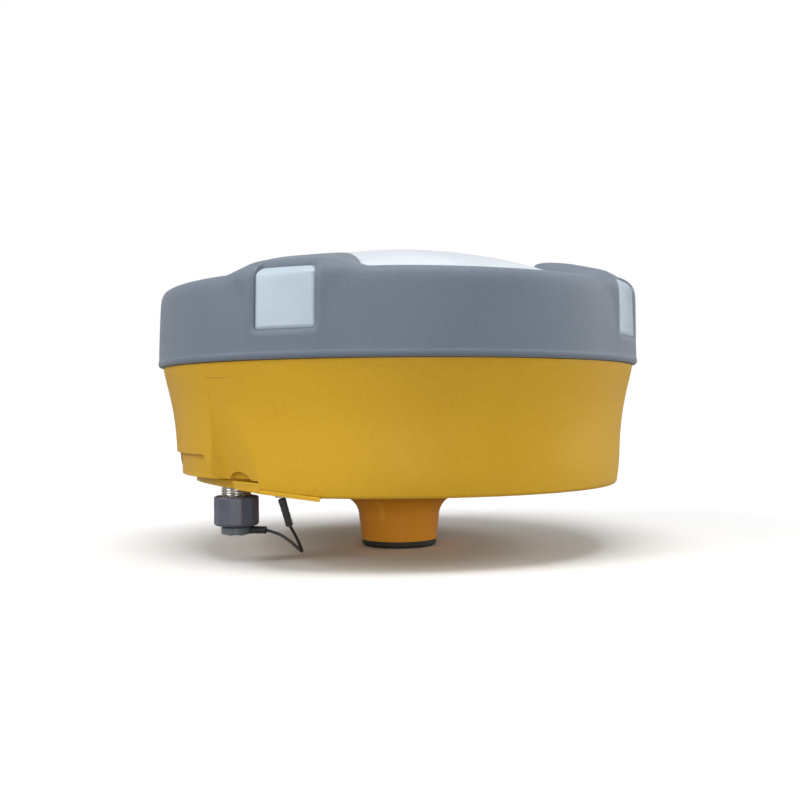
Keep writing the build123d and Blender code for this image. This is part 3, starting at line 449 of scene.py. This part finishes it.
def make_materials():
    """One material for each slot of the record: dark and light tone, then roughness."""
    return {
        "yellow_shell": painted_yellow("yellow_paint", (0.545, 0.300, 0.010), (0.600, 0.345, 0.016)),
        # the neck's paint is more orange than the shell's and made brighter to make up for the shade under
        # the cup: partly its own colour, partly painted light
        "neck": painted_yellow("neck_paint_with_painted_light", (0.90, 0.350, 0.024), (0.94, 0.385, 0.032)),
        "bumper": bumper_rubber(),
        "pad": moulded("pad_plastic", (0.40, 0.475, 0.55), (0.44, 0.515, 0.59), 0.34, grain=0.2,
                       specular=0.55),
        "radome": moulded("radome_plastic", (0.60, 0.64, 0.69), (0.64, 0.68, 0.73), 0.38, grain=0.18),
        "washer": moulded("washer_rubber", (0.018, 0.018, 0.014), (0.028, 0.028, 0.022), 0.62),
        "insert": metal("insert_brass", (0.50, 0.33, 0.11), (0.66, 0.47, 0.20), 0.28, (1, 1, 14)),
        "steel": metal("screw_steel", (0.42, 0.42, 0.42), (0.60, 0.60, 0.58), 0.30),
        "nickel": metal("nickel_plate", (0.62, 0.61, 0.59), (0.78, 0.77, 0.75), 0.14, (1, 1, 10)),
        "cap": moulded("cap_plastic", (0.078, 0.084, 0.118), (0.096, 0.102, 0.138), 0.32),
        "swivel_grey": moulded("swivel_plastic", (0.088, 0.108, 0.120), (0.110, 0.130, 0.142), 0.30),
        "black": moulded("black_plastic", (0.012, 0.012, 0.014), (0.024, 0.024, 0.027), 0.30),
        "cord": moulded("cord_coat", (0.008, 0.008, 0.010), (0.018, 0.018, 0.020), 0.42, 2600.0),
        "seal": moulded("seal_rubber", (0.012, 0.012, 0.012), (0.022, 0.022, 0.022), 0.66),
        "chassis": metal("brushed_aluminium", (0.60, 0.61, 0.63), (0.74, 0.75, 0.77), 0.34, (1, 16, 1)),
        "board": circuit_board(),
        "shield": metal("tinned_can", (0.52, 0.52, 0.50), (0.66, 0.66, 0.63), 0.30),
        "ceramic": moulded("ceramic", (0.62, 0.57, 0.46), (0.70, 0.65, 0.54), 0.55, 900.0),
        "foil": metal("copper_foil", (0.62, 0.30, 0.16), (0.75, 0.40, 0.24), 0.26),
        "gold": metal("gold_flash", (0.66, 0.46, 0.15), (0.80, 0.60, 0.24), 0.24),
        "battery": moulded("battery_wrap", (0.018, 0.020, 0.026), (0.030, 0.033, 0.040), 0.40),
        "grey_plastic": moulded("grey_plastic", (0.048, 0.054, 0.064), (0.062, 0.068, 0.080), 0.46,
                                grain=0.5),
        "lens": lens_plastic(),
        "ptfe": moulded("ptfe", (0.68, 0.67, 0.62), (0.76, 0.75, 0.70), 0.40),
    }


def finish_cad_nodes(materials):
    """Every CAD node gets the material of its slot."""
    for part in frame["record"]["subparts"]:
        node = NODES[part["node"]]
        node.data.materials.clear()
        node.data.materials.append(materials[part["material_slot"]])


# ---- case pieces with softened edges --------------------------------------------------------------

# Part of the cup whose edges are rounded, and the width of each piece's rounds, in millimetres
BAY_EDGE_X = -50.0
BAY_TOP_Z = 45.0
DOOR_EDGE_Y = 70.0
DOOR_LINE_Z = 63.0
SOFT_EDGES = {
    "lower_housing": 0.35, "port_plate": 0.3, "pole_neck": 0.2, "battery_door": 0.35, "control_panel": 0.25,
    "power_button": 0.25, "door_latch": 0.25, "dust_cap": 0.3, "cap_swivel_ring": 0.12, "vent_plug": 0.15,
    "data_port_cover": 0.3, "data_port_shell": 0.2, "port_plate_screws": 0.15, "lanyard_screw": 0.12,
    "cap_rivet": 0.1,
}
MERGE_DISTANCE = 0.000005
SHORTEST_EDGE = 0.00003
FLAT_ANGLE = radians(0.6)
ROUND_ANGLE = radians(28.0)
SHARP_ANGLE = radians(40.0)
FACE_WEIGHT = 80


def body_of(node):
    for body, members in frame["record"]["behaviour"]["bodies"].items():
        if node in members:
            return body
    raise ValueError(node)


def slot_of(node):
    subparts = frame["record"]["subparts"]
    return next(part["material_slot"] for part in subparts if part["node"] == node)


def worth_rounding(node, point):
    """The cup is rounded only round its bay and its door; its other edges are long and soft already."""
    if node != "lower_housing":
        return True
    in_bay = point.x < BAY_EDGE_X * MM and point.z < BAY_TOP_Z * MM
    in_door = point.y > DOOR_EDGE_Y * MM and point.z < DOOR_LINE_Z * MM
    return in_bay or in_door


def softened(node, width, materials):
    """The same shape as a CAD piece, with its sharp edges rounded over."""
    bm = bmesh.new()
    bm.from_mesh(NODES[node].data)
    bmesh.ops.remove_doubles(bm, verts=bm.verts, dist=MERGE_DISTANCE)
    chosen = {v for v in bm.verts if worth_rounding(node, v.co)}
    edges = [e for e in bm.edges if all(v in chosen for v in e.verts)]
    bmesh.ops.dissolve_limit(bm, angle_limit=FLAT_ANGLE, verts=list(chosen), edges=edges)
    bmesh.ops.dissolve_degenerate(bm, dist=SHORTEST_EDGE, edges=bm.edges)
    sharp = [e for e in bm.edges if len(e.link_faces) == 2 and e.calc_face_angle(0.0) > ROUND_ANGLE
             and all(worth_rounding(node, v.co) for v in e.verts)]
    bmesh.ops.bevel(bm, geom=sharp, offset=width * MM, segments=2, profile=0.6, affect="EDGES",
                    clamp_overlap=False, miter_outer="ARC")
    bmesh.ops.triangulate(bm, faces=[f for f in bm.faces if len(f.verts) > 4])
    bmesh.ops.recalc_face_normals(bm, faces=bm.faces)
    for face in bm.faces:
        face.smooth = True
    for edge in bm.edges:
        edge.smooth = len(edge.link_faces) == 2 and edge.calc_face_angle(0.0) < SHARP_ANGLE
    piece = mesh_object(f"{node}_mesh", bm)
    weigh_normals(piece)
    slot = slot_of(node)
    return place(piece, materials[slot], body_of(node), node)


def weigh_normals(piece):
    """Flat faces stay flat and only the rounded edges turn the light."""
    modifier = piece.modifiers.new("weighted", "WEIGHTED_NORMAL")
    modifier.keep_sharp = True
    modifier.weight = FACE_WEIGHT
    bpy.context.view_layer.update()
    evaluated = piece.evaluated_get(bpy.context.evaluated_depsgraph_get())
    mesh = bpy.data.meshes.new_from_object(evaluated)
    piece.modifiers.clear()
    old = piece.data
    piece.data = mesh
    bpy.data.meshes.remove(old)


# ---- thread of the antenna connector --------------------------------------------------------------

THREAD_R = 5.55
THREAD_DEPTH = 0.55
THREAD_PITCH = 0.907
THREAD_Z = (19.0, 28.5)
THREAD_STEPS = 110
BARREL_SIDES = 96
BARREL_BORE_R = 3.4
# the plain barrel above the thread, its seat and its tail, as (radius, z)
BARREL_TAIL = [(THREAD_R, 28.9), (THREAD_R, 30.45), (4.75, 30.5), (4.75, 37.5), (BARREL_BORE_R, 37.5)]


def thread_radius(turn, z):
    """Radius of the barrel at a share of a turn and a height: a vee that climbs, run out at the mouth."""
    phase = ((z - THREAD_Z[0]) / THREAD_PITCH - turn) % 1.0
    rise = min(1.0, max(0.0, 2.6 * (0.5 - abs(phase - 0.5)) - 0.15))
    started = smoothstep((z - THREAD_Z[0]) / 0.5)
    return THREAD_R - THREAD_DEPTH + THREAD_DEPTH * rise * started


def tnc_barrel(material):
    """Hollow barrel with a thread that climbs round it."""
    middle = node_middle("tnc_barrel")
    mouth, root = THREAD_Z
    cut = [mouth + (root - mouth) * k / THREAD_STEPS for k in range(THREAD_STEPS + 1)]
    columns = []
    for i in range(BARREL_SIDES):
        turn = i / BARREL_SIDES
        thread = [(thread_radius(turn, z), z) for z in cut]
        line = [(BARREL_BORE_R, mouth)] + thread + BARREL_TAIL + [(BARREL_BORE_R, mouth)]
        x, y = cos(2 * pi * turn) * MM, sin(2 * pi * turn) * MM
        columns.append([Vector((middle.x + r * x, middle.y + r * y, z * MM)) for r, z in line])
    barrel = closed_grid_object("tnc_barrel_mesh", columns)
    shade_smooth(barrel, 50.0)
    return place(barrel, material, "root", "tnc_barrel")


# ---- bumper ring and pads -------------------------------------------------------------------------

# Outline of the ring from its bottom inner edge, up the wall, over the shoulder and in to the dome,
# as (radius, z). The second outline is the same line along the middle of a raised arm.
RING_LINE = [(90.5, 71.2), (93.6, 71.2), (94.6, 71.5), (94.97, 72.2), (95.0, 73.2), (94.75, 73.7),
             (94.7, 77.0), (94.6, 80.0), (94.57, 81.0), (94.55, 82.0), (94.4, 86.0), (94.2, 91.0),
             (93.95, 95.6), (93.5, 98.1), (92.5, 99.8), (90.5, 100.7), (88.0, 101.1), (84.0, 101.6),
             (80.0, 102.15), (77.0, 102.75), (76.0, 102.75), (75.75, 102.1), (75.7, 100.4)]
ARM_LINE = [(90.5, 71.2), (93.6, 71.2), (94.6, 71.5), (94.97, 72.2), (95.0, 73.2), (94.78, 73.8),
            (94.8, 77.0), (94.9, 80.0), (94.95, 81.0), (94.97, 82.0), (94.98, 86.0), (94.98, 91.0),
            (94.9, 96.3), (94.6, 98.8), (93.6, 101.3), (91.2, 103.4), (88.2, 104.5), (84.2, 105.5),
            (76.0, 107.6), (68.0, 108.8), (63.6, 108.9), (61.4, 108.2), (60.4, 106.4)]
# inner side of the ring beside the skirt of the radome, as (radius, z)
INNER_LINE = [(84.2, 97.7), (88.6, 95.5), (90.3, 91.0)]
# degrees from the middle of an arm where its side is flat and where it meets the ring
WALL_SIDE = (7.9, 9.9)
SHOULDER_SIDE = (8.6, 17.2)
TIP_SIDE = (6.6, 14.4)
SHOULDER_ROW = 11
TIP_ROW = 17
ROWS_TO_CHANGE = 3
ARM_REACH = 19.0
POCKET_REACH = 10.0
WALL_MIN_R = 93.5


def ramp_with_soft_ends(x, soft=0.18):
    """Straight slope from 0 to 1 with a short curve at both ends."""
    x = min(1.0, max(0.0, x))
    if x < soft:
        return x * x / (2 * soft * (1 - soft))
    if x > 1 - soft:
        return 1 - (1 - x) ** 2 / (2 * soft * (1 - soft))
    return (x - soft / 2) / (1 - soft)


def pad_offset(azimuth):
    """Signed angle to the nearest pad."""
    offsets = [(azimuth - pad + 180.0) % 360.0 - 180.0 for pad in PAD_AZIMUTHS]
    return min(offsets, key=abs)


def arm_weight(azimuth, row):
    """How much of the arm shows: steep beside the pad, broad over the shoulder and round at the tip."""
    off = abs(pad_offset(azimuth))
    over = smoothstep((row - SHOULDER_ROW) / ROWS_TO_CHANGE)
    flat = WALL_SIDE[0] + (SHOULDER_SIDE[0] - WALL_SIDE[0]) * over
    foot = WALL_SIDE[1] + (SHOULDER_SIDE[1] - WALL_SIDE[1]) * over
    side = ramp_with_soft_ends((foot - off) / (foot - flat))
    along = min(1.0, max(0.0, (off - TIP_SIDE[0]) / (TIP_SIDE[1] - TIP_SIDE[0])))
    tip = 1.0 - along ** 2.5
    return side + (tip - side) * smoothstep((row - TIP_ROW) / ROWS_TO_CHANGE)


def round_off(line, passes):
    """Cut the corners of a line, again and again, which leaves a smooth curve."""
    for _ in range(passes):
        cut = [line[0]]
        for (r0, z0), (r1, z1) in zip(line, line[1:]):
            cut.append((0.75 * r0 + 0.25 * r1, 0.75 * z0 + 0.25 * z1))
            cut.append((0.25 * r0 + 0.75 * r1, 0.25 * z0 + 0.75 * z1))
        cut.append(line[-1])
        line = cut
    return line


def ring_section(azimuth):
    """Section of the ring's outer surface at an azimuth, as (radius, z) points."""
    line = []
    for row, (ring, arm) in enumerate(zip(RING_LINE, ARM_LINE)):
        w = arm_weight(azimuth, row)
        line.append((ring[0] + (arm[0] - ring[0]) * w, ring[1] + (arm[1] - ring[1]) * w))
    return round_off(line, 2)


def running_length(line):
    """Length from the start of a line to each of its points."""
    lengths = [0.0]
    for (r0, z0), (r1, z1) in zip(line, line[1:]):
        lengths.append(lengths[-1] + sqrt((r1 - r0) ** 2 + (z1 - z0) ** 2))
    return lengths


def outward(line, i):
    """Unit normal of a section line at a point, pointing out of the ring."""
    (r0, z0), (r1, z1) = line[max(0, i - 1)], line[min(len(line) - 1, i + 1)]
    length = sqrt((r1 - r0) ** 2 + (z1 - z0) ** 2)
    return (z1 - z0) / length, -(r1 - r0) / length


def length_at_z(line, lengths, z):
    """Running length where the wall of a section first reaches a height."""
    for i in range(len(line) - 1):
        z0, z1 = line[i][1], line[i + 1][1]
        if line[i][0] > WALL_MIN_R and z0 <= z <= z1 and z1 > z0:
            return lengths[i] + (lengths[i + 1] - lengths[i]) * (z - z0) / (z1 - z0)
    raise ValueError("the wall does not reach that height")


def length_at_radius(line, lengths, radius):
    """Running length where the top of a section comes in to a radius."""
    for i in range(len(line) // 2, len(line) - 1):
        r0, r1 = line[i][0], line[i + 1][0]
        if r0 >= radius >= r1 and r0 > r1:
            return lengths[i] + (lengths[i + 1] - lengths[i]) * (r0 - radius) / (r0 - r1)
    raise ValueError("the top does not reach that radius")


def rounded_box_distance(x, y, half_x, low_y, high_y, corners):
    """Distance outside a rectangle with rounds at its low and high corners, negative inside it."""
    half_y = (high_y - low_y) / 2
    middle = (low_y + high_y) / 2
    corner = corners[1] if y > middle else corners[0]
    dx = abs(x) - half_x + corner
    dy = abs(y - middle) - half_y + corner
    outside = sqrt(max(dx, 0) ** 2 + max(dy, 0) ** 2)
    return outside + min(max(dx, dy), 0.0) - corner


MIDDLE_LINE = ring_section(PAD_AZIMUTHS[0])
MIDDLE_LENGTHS = running_length(MIDDLE_LINE)
PAD_HALF_WIDTH = radians(PAD_HALF_ANGLE) * PAD_RADIUS
POCKET_DEPTH = 2.2
POCKET_GAP = 0.3
POCKET_CORNERS = (1.7, 3.2)
POCKET_WALL = 0.35
ROLL_DEPTH = 0.8
ROLL_WIDTH = 2.2
POCKET_LOW = length_at_z(MIDDLE_LINE, MIDDLE_LENGTHS, 80.8)
POCKET_HIGH = length_at_radius(MIDDLE_LINE, MIDDLE_LENGTHS, 89.6)
ROW_STEP = 0.6
SPLITS = [max(1, round((b - a) / ROW_STEP)) for a, b in zip(MIDDLE_LENGTHS, MIDDLE_LENGTHS[1:])]


def pocket_cut(azimuth, length):
    """How deep the pocket of the nearest pad cuts at a place on the ring, with its rolled edge."""
    if abs(pad_offset(azimuth)) >= POCKET_REACH:
        return 0.0
    x = radians(pad_offset(azimuth)) * PAD_RADIUS
    half = PAD_HALF_WIDTH + POCKET_GAP
    away = rounded_box_distance(x, length, half, POCKET_LOW, POCKET_HIGH, POCKET_CORNERS)
    rolled_edge = ROLL_DEPTH * (1.0 - min(1.0, max(0.0, away / ROLL_WIDTH))) ** 2
    return rolled_edge + (POCKET_DEPTH - ROLL_DEPTH) * smoothstep(-away / POCKET_WALL)


def ring_azimuths():
    """Fine steps beside the pads and coarse steps elsewhere."""
    azimuths = []
    a = -180.0
    edge = PAD_HALF_ANGLE + degrees(POCKET_GAP / PAD_RADIUS)
    while a < 180.0 - 1e-6:
        azimuths.append(a)
        off = abs(pad_offset(a))
        near_edge = abs(off - edge) < 0.7
        a += 0.1 if near_edge else (0.3 if off < ARM_REACH else 1.0)
    return azimuths


def dome_height(radius):
    """Height of the radome's outer surface."""
    return DOME_TOP - DOME_R + sqrt(DOME_R ** 2 - radius ** 2)


def bumper_ring(material):
    """Rubber ring with its four arms, and a pocket in each arm for its pad."""
    columns = []
    for azimuth in ring_azimuths():
        line = dense_line(ring_section(azimuth))
        lengths = running_length(line)
        column = []
        for i, (r, z) in enumerate(line):
            nr, nz = outward(line, i)
            cut = pocket_cut(azimuth, lengths[i])
            column.append(polar_point(r - nr * cut, azimuth, z - nz * cut))
        # the hidden inner side: out along the dome, then down beside the skirt of the radome
        inner = line[-1][0]
        under = [inner + (DOME_EDGE_R - inner) * k / 4 for k in range(1, 5)]
        column += [polar_point(r, azimuth, min(dome_height(r) - 0.1, line[-1][1])) for r in under]
        column += [polar_point(r, azimuth, z) for r, z in INNER_LINE]
        column.append(column[0].copy())
        columns.append(column)
    ring = closed_grid_object("bumper_ring_mesh", columns)
    shade_smooth(ring, 50.0)
    return place(ring, material, "root", "bumper_ring")


def dense_line(line):
    """The same count of extra points in every column, on the wall and the shoulder."""
    dense = []
    for (a, b), cuts in zip(zip(line, line[1:]), SPLITS):
        for k in range(cuts):
            t = k / cuts
            dense.append((a[0] + (b[0] - a[0]) * t, a[1] + (b[1] - a[1]) * t))
    dense.append(line[-1])
    return dense


# Section of a pad's face: a plain wall and a crisp facet above it.
PAD_LINE = [(94.4, 81.0), (94.2, 90.0), (94.0, 98.9), (93.8, 99.4), (92.0, 101.5), (91.5, 101.9)]
PAD_EDGE = 1.1
PAD_BEVEL = 0.55
PAD_LIP = 0.25
PAD_MERGE = 0.000002
PAD_CORNERS = (1.2, 2.8)
PAD_THICKNESS = 1.6
EDGE_STEPS = (0.0, 0.03, 0.12, 0.3, 0.55, 0.82, 1.06, 1.1)


def point_along(line, lengths, length, lift):
    """Place (radius, z) at a running length of a section line, lifted along its normal."""
    i = max(k for k in range(len(lengths) - 1) if lengths[k] <= length + 1e-9)
    t = (length - lengths[i]) / (lengths[i + 1] - lengths[i])
    (ra, za), (rb, zb) = line[i], line[i + 1]
    na, nb = outward(line, i), outward(line, i + 1)
    nr, nz = na[0] + (nb[0] - na[0]) * t, na[1] + (nb[1] - na[1]) * t
    size = sqrt(nr * nr + nz * nz)
    return ra + (rb - ra) * t + nr / size * lift, za + (zb - za) * t + nz / size * lift


def spaced(low, high, step):
    """Places from low to high, closer together beside both ends."""
    span = high - low - 2 * PAD_EDGE
    count = round(span / step)
    inner = [low + PAD_EDGE + span * k / count for k in range(1, count)]
    return [low + e for e in EDGE_STEPS] + inner + [high - e for e in reversed(EDGE_STEPS)]


def tucked(x, y, half_x, low_y, high_y, corners):
    """Move a place in a box's corner on to the round of that corner."""
    middle = (low_y + high_y) / 2
    corner = corners[1] if y > middle else corners[0]
    cx = half_x - corner
    cy = (high_y - low_y) / 2 - corner
    dx, dy = abs(x) - cx, abs(y - middle) - cy
    if dx <= 0 or dy <= 0:
        return x, y
    scale = max(dx, dy) / sqrt(dx * dx + dy * dy)
    sx = 1 if x > 0 else -1
    sy = 1 if y > middle else -1
    return sx * (cx + dx * scale), middle + sy * (cy + dy * scale)


def bumper_pad(number, azimuth, material):
    """Slab with a chamfer all round that bends over the shoulder of the ring."""
    line = round_off(PAD_LINE, 1)
    lengths = running_length(line)
    high = lengths[-1]
    front, back = [], []
    for x in spaced(-PAD_HALF_WIDTH, PAD_HALF_WIDTH, 1.0):
        face, rear = [], []
        for s in spaced(0.0, high, 0.5):
            px, ps = tucked(x, s, PAD_HALF_WIDTH, 0.0, high, PAD_CORNERS)
            inside = -rounded_box_distance(px, ps, PAD_HALF_WIDTH, 0.0, high, PAD_CORNERS)
            short = max(0.0, PAD_EDGE - inside) / PAD_EDGE
            turn = azimuth + degrees(px / PAD_RADIUS)
            r, z = point_along(line, lengths, ps, -PAD_BEVEL * short - PAD_LIP * short ** 6)
            face.append(polar_point(r, turn, z))
            r, z = point_along(line, lengths, ps, -PAD_THICKNESS)
            rear.append(polar_point(r, turn, z))
        front.append(face)
        back.append(rear)
    bm = bmesh.new()
    outer, inner = add_columns(bm, front), add_columns(bm, back)
    for sheet in (outer, inner):
        for a, b in zip(sheet, sheet[1:]):
            add_quads(bm, a, b)
    for side in (0, -1):
        add_quads(bm, outer[side], inner[side])
        add_quads(bm, [column[side] for column in outer], [column[side] for column in inner])
    bmesh.ops.remove_doubles(bm, verts=bm.verts, dist=PAD_MERGE)
    bmesh.ops.recalc_face_normals(bm, faces=bm.faces)
    pad = mesh_object(f"bumper_pad_{number}_mesh", bm)
    shade_smooth(pad, 22.0)
    return place(pad, material, "root", f"bumper_pad_{number}")


# ---- lanyard --------------------------------------------------------------------------------------

CORD_SIDES = 36
CORD_LAY = 0.010            # length in metres of one turn of the strands
STRANDS = 6
STRAND_DEPTH = 0.05         # share of the radius
CRIMP_STEPS = 60
CRIMP_SIDES = 40
CRIMP_BITES = (0.28, 0.5, 0.72)
CRIMP_OVERLAP = 0.0003      # the sleeve covers this much of the cord's end
CAP_CRIMP_R = 1.3
CAP_CRIMP_LENGTH = 0.0055
ANCHOR_CRIMP_R = 1.25
ANCHOR_CRIMP_GAP = 0.0004   # clear of the head of its screw

def cord_line():
    """Smooth centreline of the cord, as points in metres."""
    curve = bpy.data.curves.new("cord_route", "CURVE")
    curve.dimensions = "3D"
    spline = curve.splines.new("NURBS")
    spline.points.add(len(CORD_POINTS) - 1)
    for point, (x, y, z) in zip(spline.points, CORD_POINTS):
        point.co = (x * MM, y * MM, z * MM, 1.0)
    spline.order_u = 3
    spline.use_endpoint_u = True
    spline.resolution_u = 24
    route = bpy.data.objects.new("cord_route", curve)
    bpy.context.scene.collection.objects.link(route)
    bpy.context.view_layer.update()
    mesh = bpy.data.meshes.new_from_object(route)
    points = [v.co.copy() for v in mesh.vertices]
    bpy.data.objects.remove(route)
    bpy.data.meshes.remove(mesh)
    return points


def sweep_rings(points, radius_at, sides):
    """Rings of points round a line, turned as little as possible from one to the next."""
    rings = []
    way = (points[1] - points[0]).normalized()
    side = way.orthogonal().normalized()
    for i, point in enumerate(points):
        ahead = points[min(i + 1, len(points) - 1)] - points[max(i - 1, 0)]
        turn = way.rotation_difference(ahead.normalized())
        side = (turn @ side).normalized()
        way = ahead.normalized()
        other = way.cross(side)
        ring = []
        for k in range(sides):
            a = 2 * pi * k / sides
            ring.append(point + (side * cos(a) + other * sin(a)) * radius_at(i, a))
        rings.append(ring)
    return rings


def tube_object(name, rings):
    """Closed tube on rings of points, with flat ends."""
    bm = bmesh.new()
    loops = [[bm.verts.new(p) for p in ring] for ring in rings]
    count = len(loops[0])
    for a, b in zip(loops, loops[1:]):
        for k in range(count):
            bm.faces.new((a[k], a[(k + 1) % count], b[(k + 1) % count], b[k]))
    bm.faces.new(loops[0])
    bm.faces.new(loops[-1])
    bmesh.ops.recalc_face_normals(bm, faces=bm.faces)
    return mesh_object(name, bm)


def lanyard_cord(material):
    """Coated wire rope: the lay of the strands shows faintly through the coat."""
    points = cord_line()
    radius = CORD_DIAMETER / 2 * MM
    run = [0.0]
    for a, b in zip(points, points[1:]):
        run.append(run[-1] + (b - a).length)

    def radius_at(i, angle):
        turned = angle + 2 * pi * run[i] / CORD_LAY
        return radius * (1.0 - STRAND_DEPTH * (0.5 - 0.5 * cos(STRANDS * turned)))

    cord = tube_object("lanyard_cord_mesh", sweep_rings(points, radius_at, CORD_SIDES))
    shade_smooth(cord, 60.0)
    cord.data.materials.append(material)
    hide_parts("lanyard_cord")
    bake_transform(cord)
    return cord, points, run[-1]


def crimp(name, start, end, waist, body, material, replaced):
    """Pressed sleeve with a flared lip at each end and three bites of the tool."""
    points = [start + (end - start) * (k / CRIMP_STEPS) for k in range(CRIMP_STEPS + 1)]

    def radius_at(i, angle):
        t = i / CRIMP_STEPS
        from_end = min(t, 1.0 - t)
        lip = max(0.0, 1.0 - from_end / 0.07)
        bite = sum(max(0.0, 1.0 - abs(t - middle) / 0.06) for middle in CRIMP_BITES)
        pinch = 0.14 * smoothstep(bite) * (0.6 + 0.4 * cos(2 * angle))
        r = waist * (1.0 + 0.10 * t - pinch + 0.06 * lip)
        rounded = 1.0 - 0.25 * smoothstep(1.0 - from_end / 0.025)
        return max(r * rounded, 0.6 * waist) * MM

    sleeve = tube_object(name, sweep_rings(points, radius_at, CRIMP_SIDES))
    shade_smooth(sleeve, 45.0)
    return place(sleeve, material, body, replaced)


def lanyard(materials):
    """Cord from the swivel ring of the dust cap to a screw in the port plate, with its two crimps."""
    cord, points, length = lanyard_cord(materials["cord"])
    black = materials["black"]
    start, low = points[0], points[-1]
    middle = node_middle("dust_cap")
    inward = (Vector((middle.x, middle.y, start.z)) - start).normalized()
    at_cap = crimp("crimp_cap_mesh", start - inward * CRIMP_OVERLAP, start + inward * CAP_CRIMP_LENGTH,
                   CAP_CRIMP_R, "swivel", black, "crimp_cap")
    hook = node_middle("lanyard_screw")
    top = Vector((hook.x, hook.y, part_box("lanyard_screw")[0].z - 0.0001))
    way = (top - low).normalized()
    at_plate = crimp("crimp_anchor_mesh", low - way * CRIMP_OVERLAP, top - way * ANCHOR_CRIMP_GAP,
                     ANCHOR_CRIMP_R, "root", black, "crimp_anchor")


# ---- everything together --------------------------------------------------------------------------

def main():
    materials = make_materials()
    make_camera()
    make_world()
    make_floor()
    for light in LIGHTS:
        area_light(*light)
    finish_cad_nodes(materials)
    lanyard(materials)
    for node, width in SOFT_EDGES.items():
        softened(node, width, materials)
    tnc_barrel(materials["nickel"])
    bumper_ring(materials["bumper"])
    for number, azimuth in enumerate(PAD_AZIMUTHS, start=1):
        bumper_pad(number, azimuth, materials["pad"])


main()
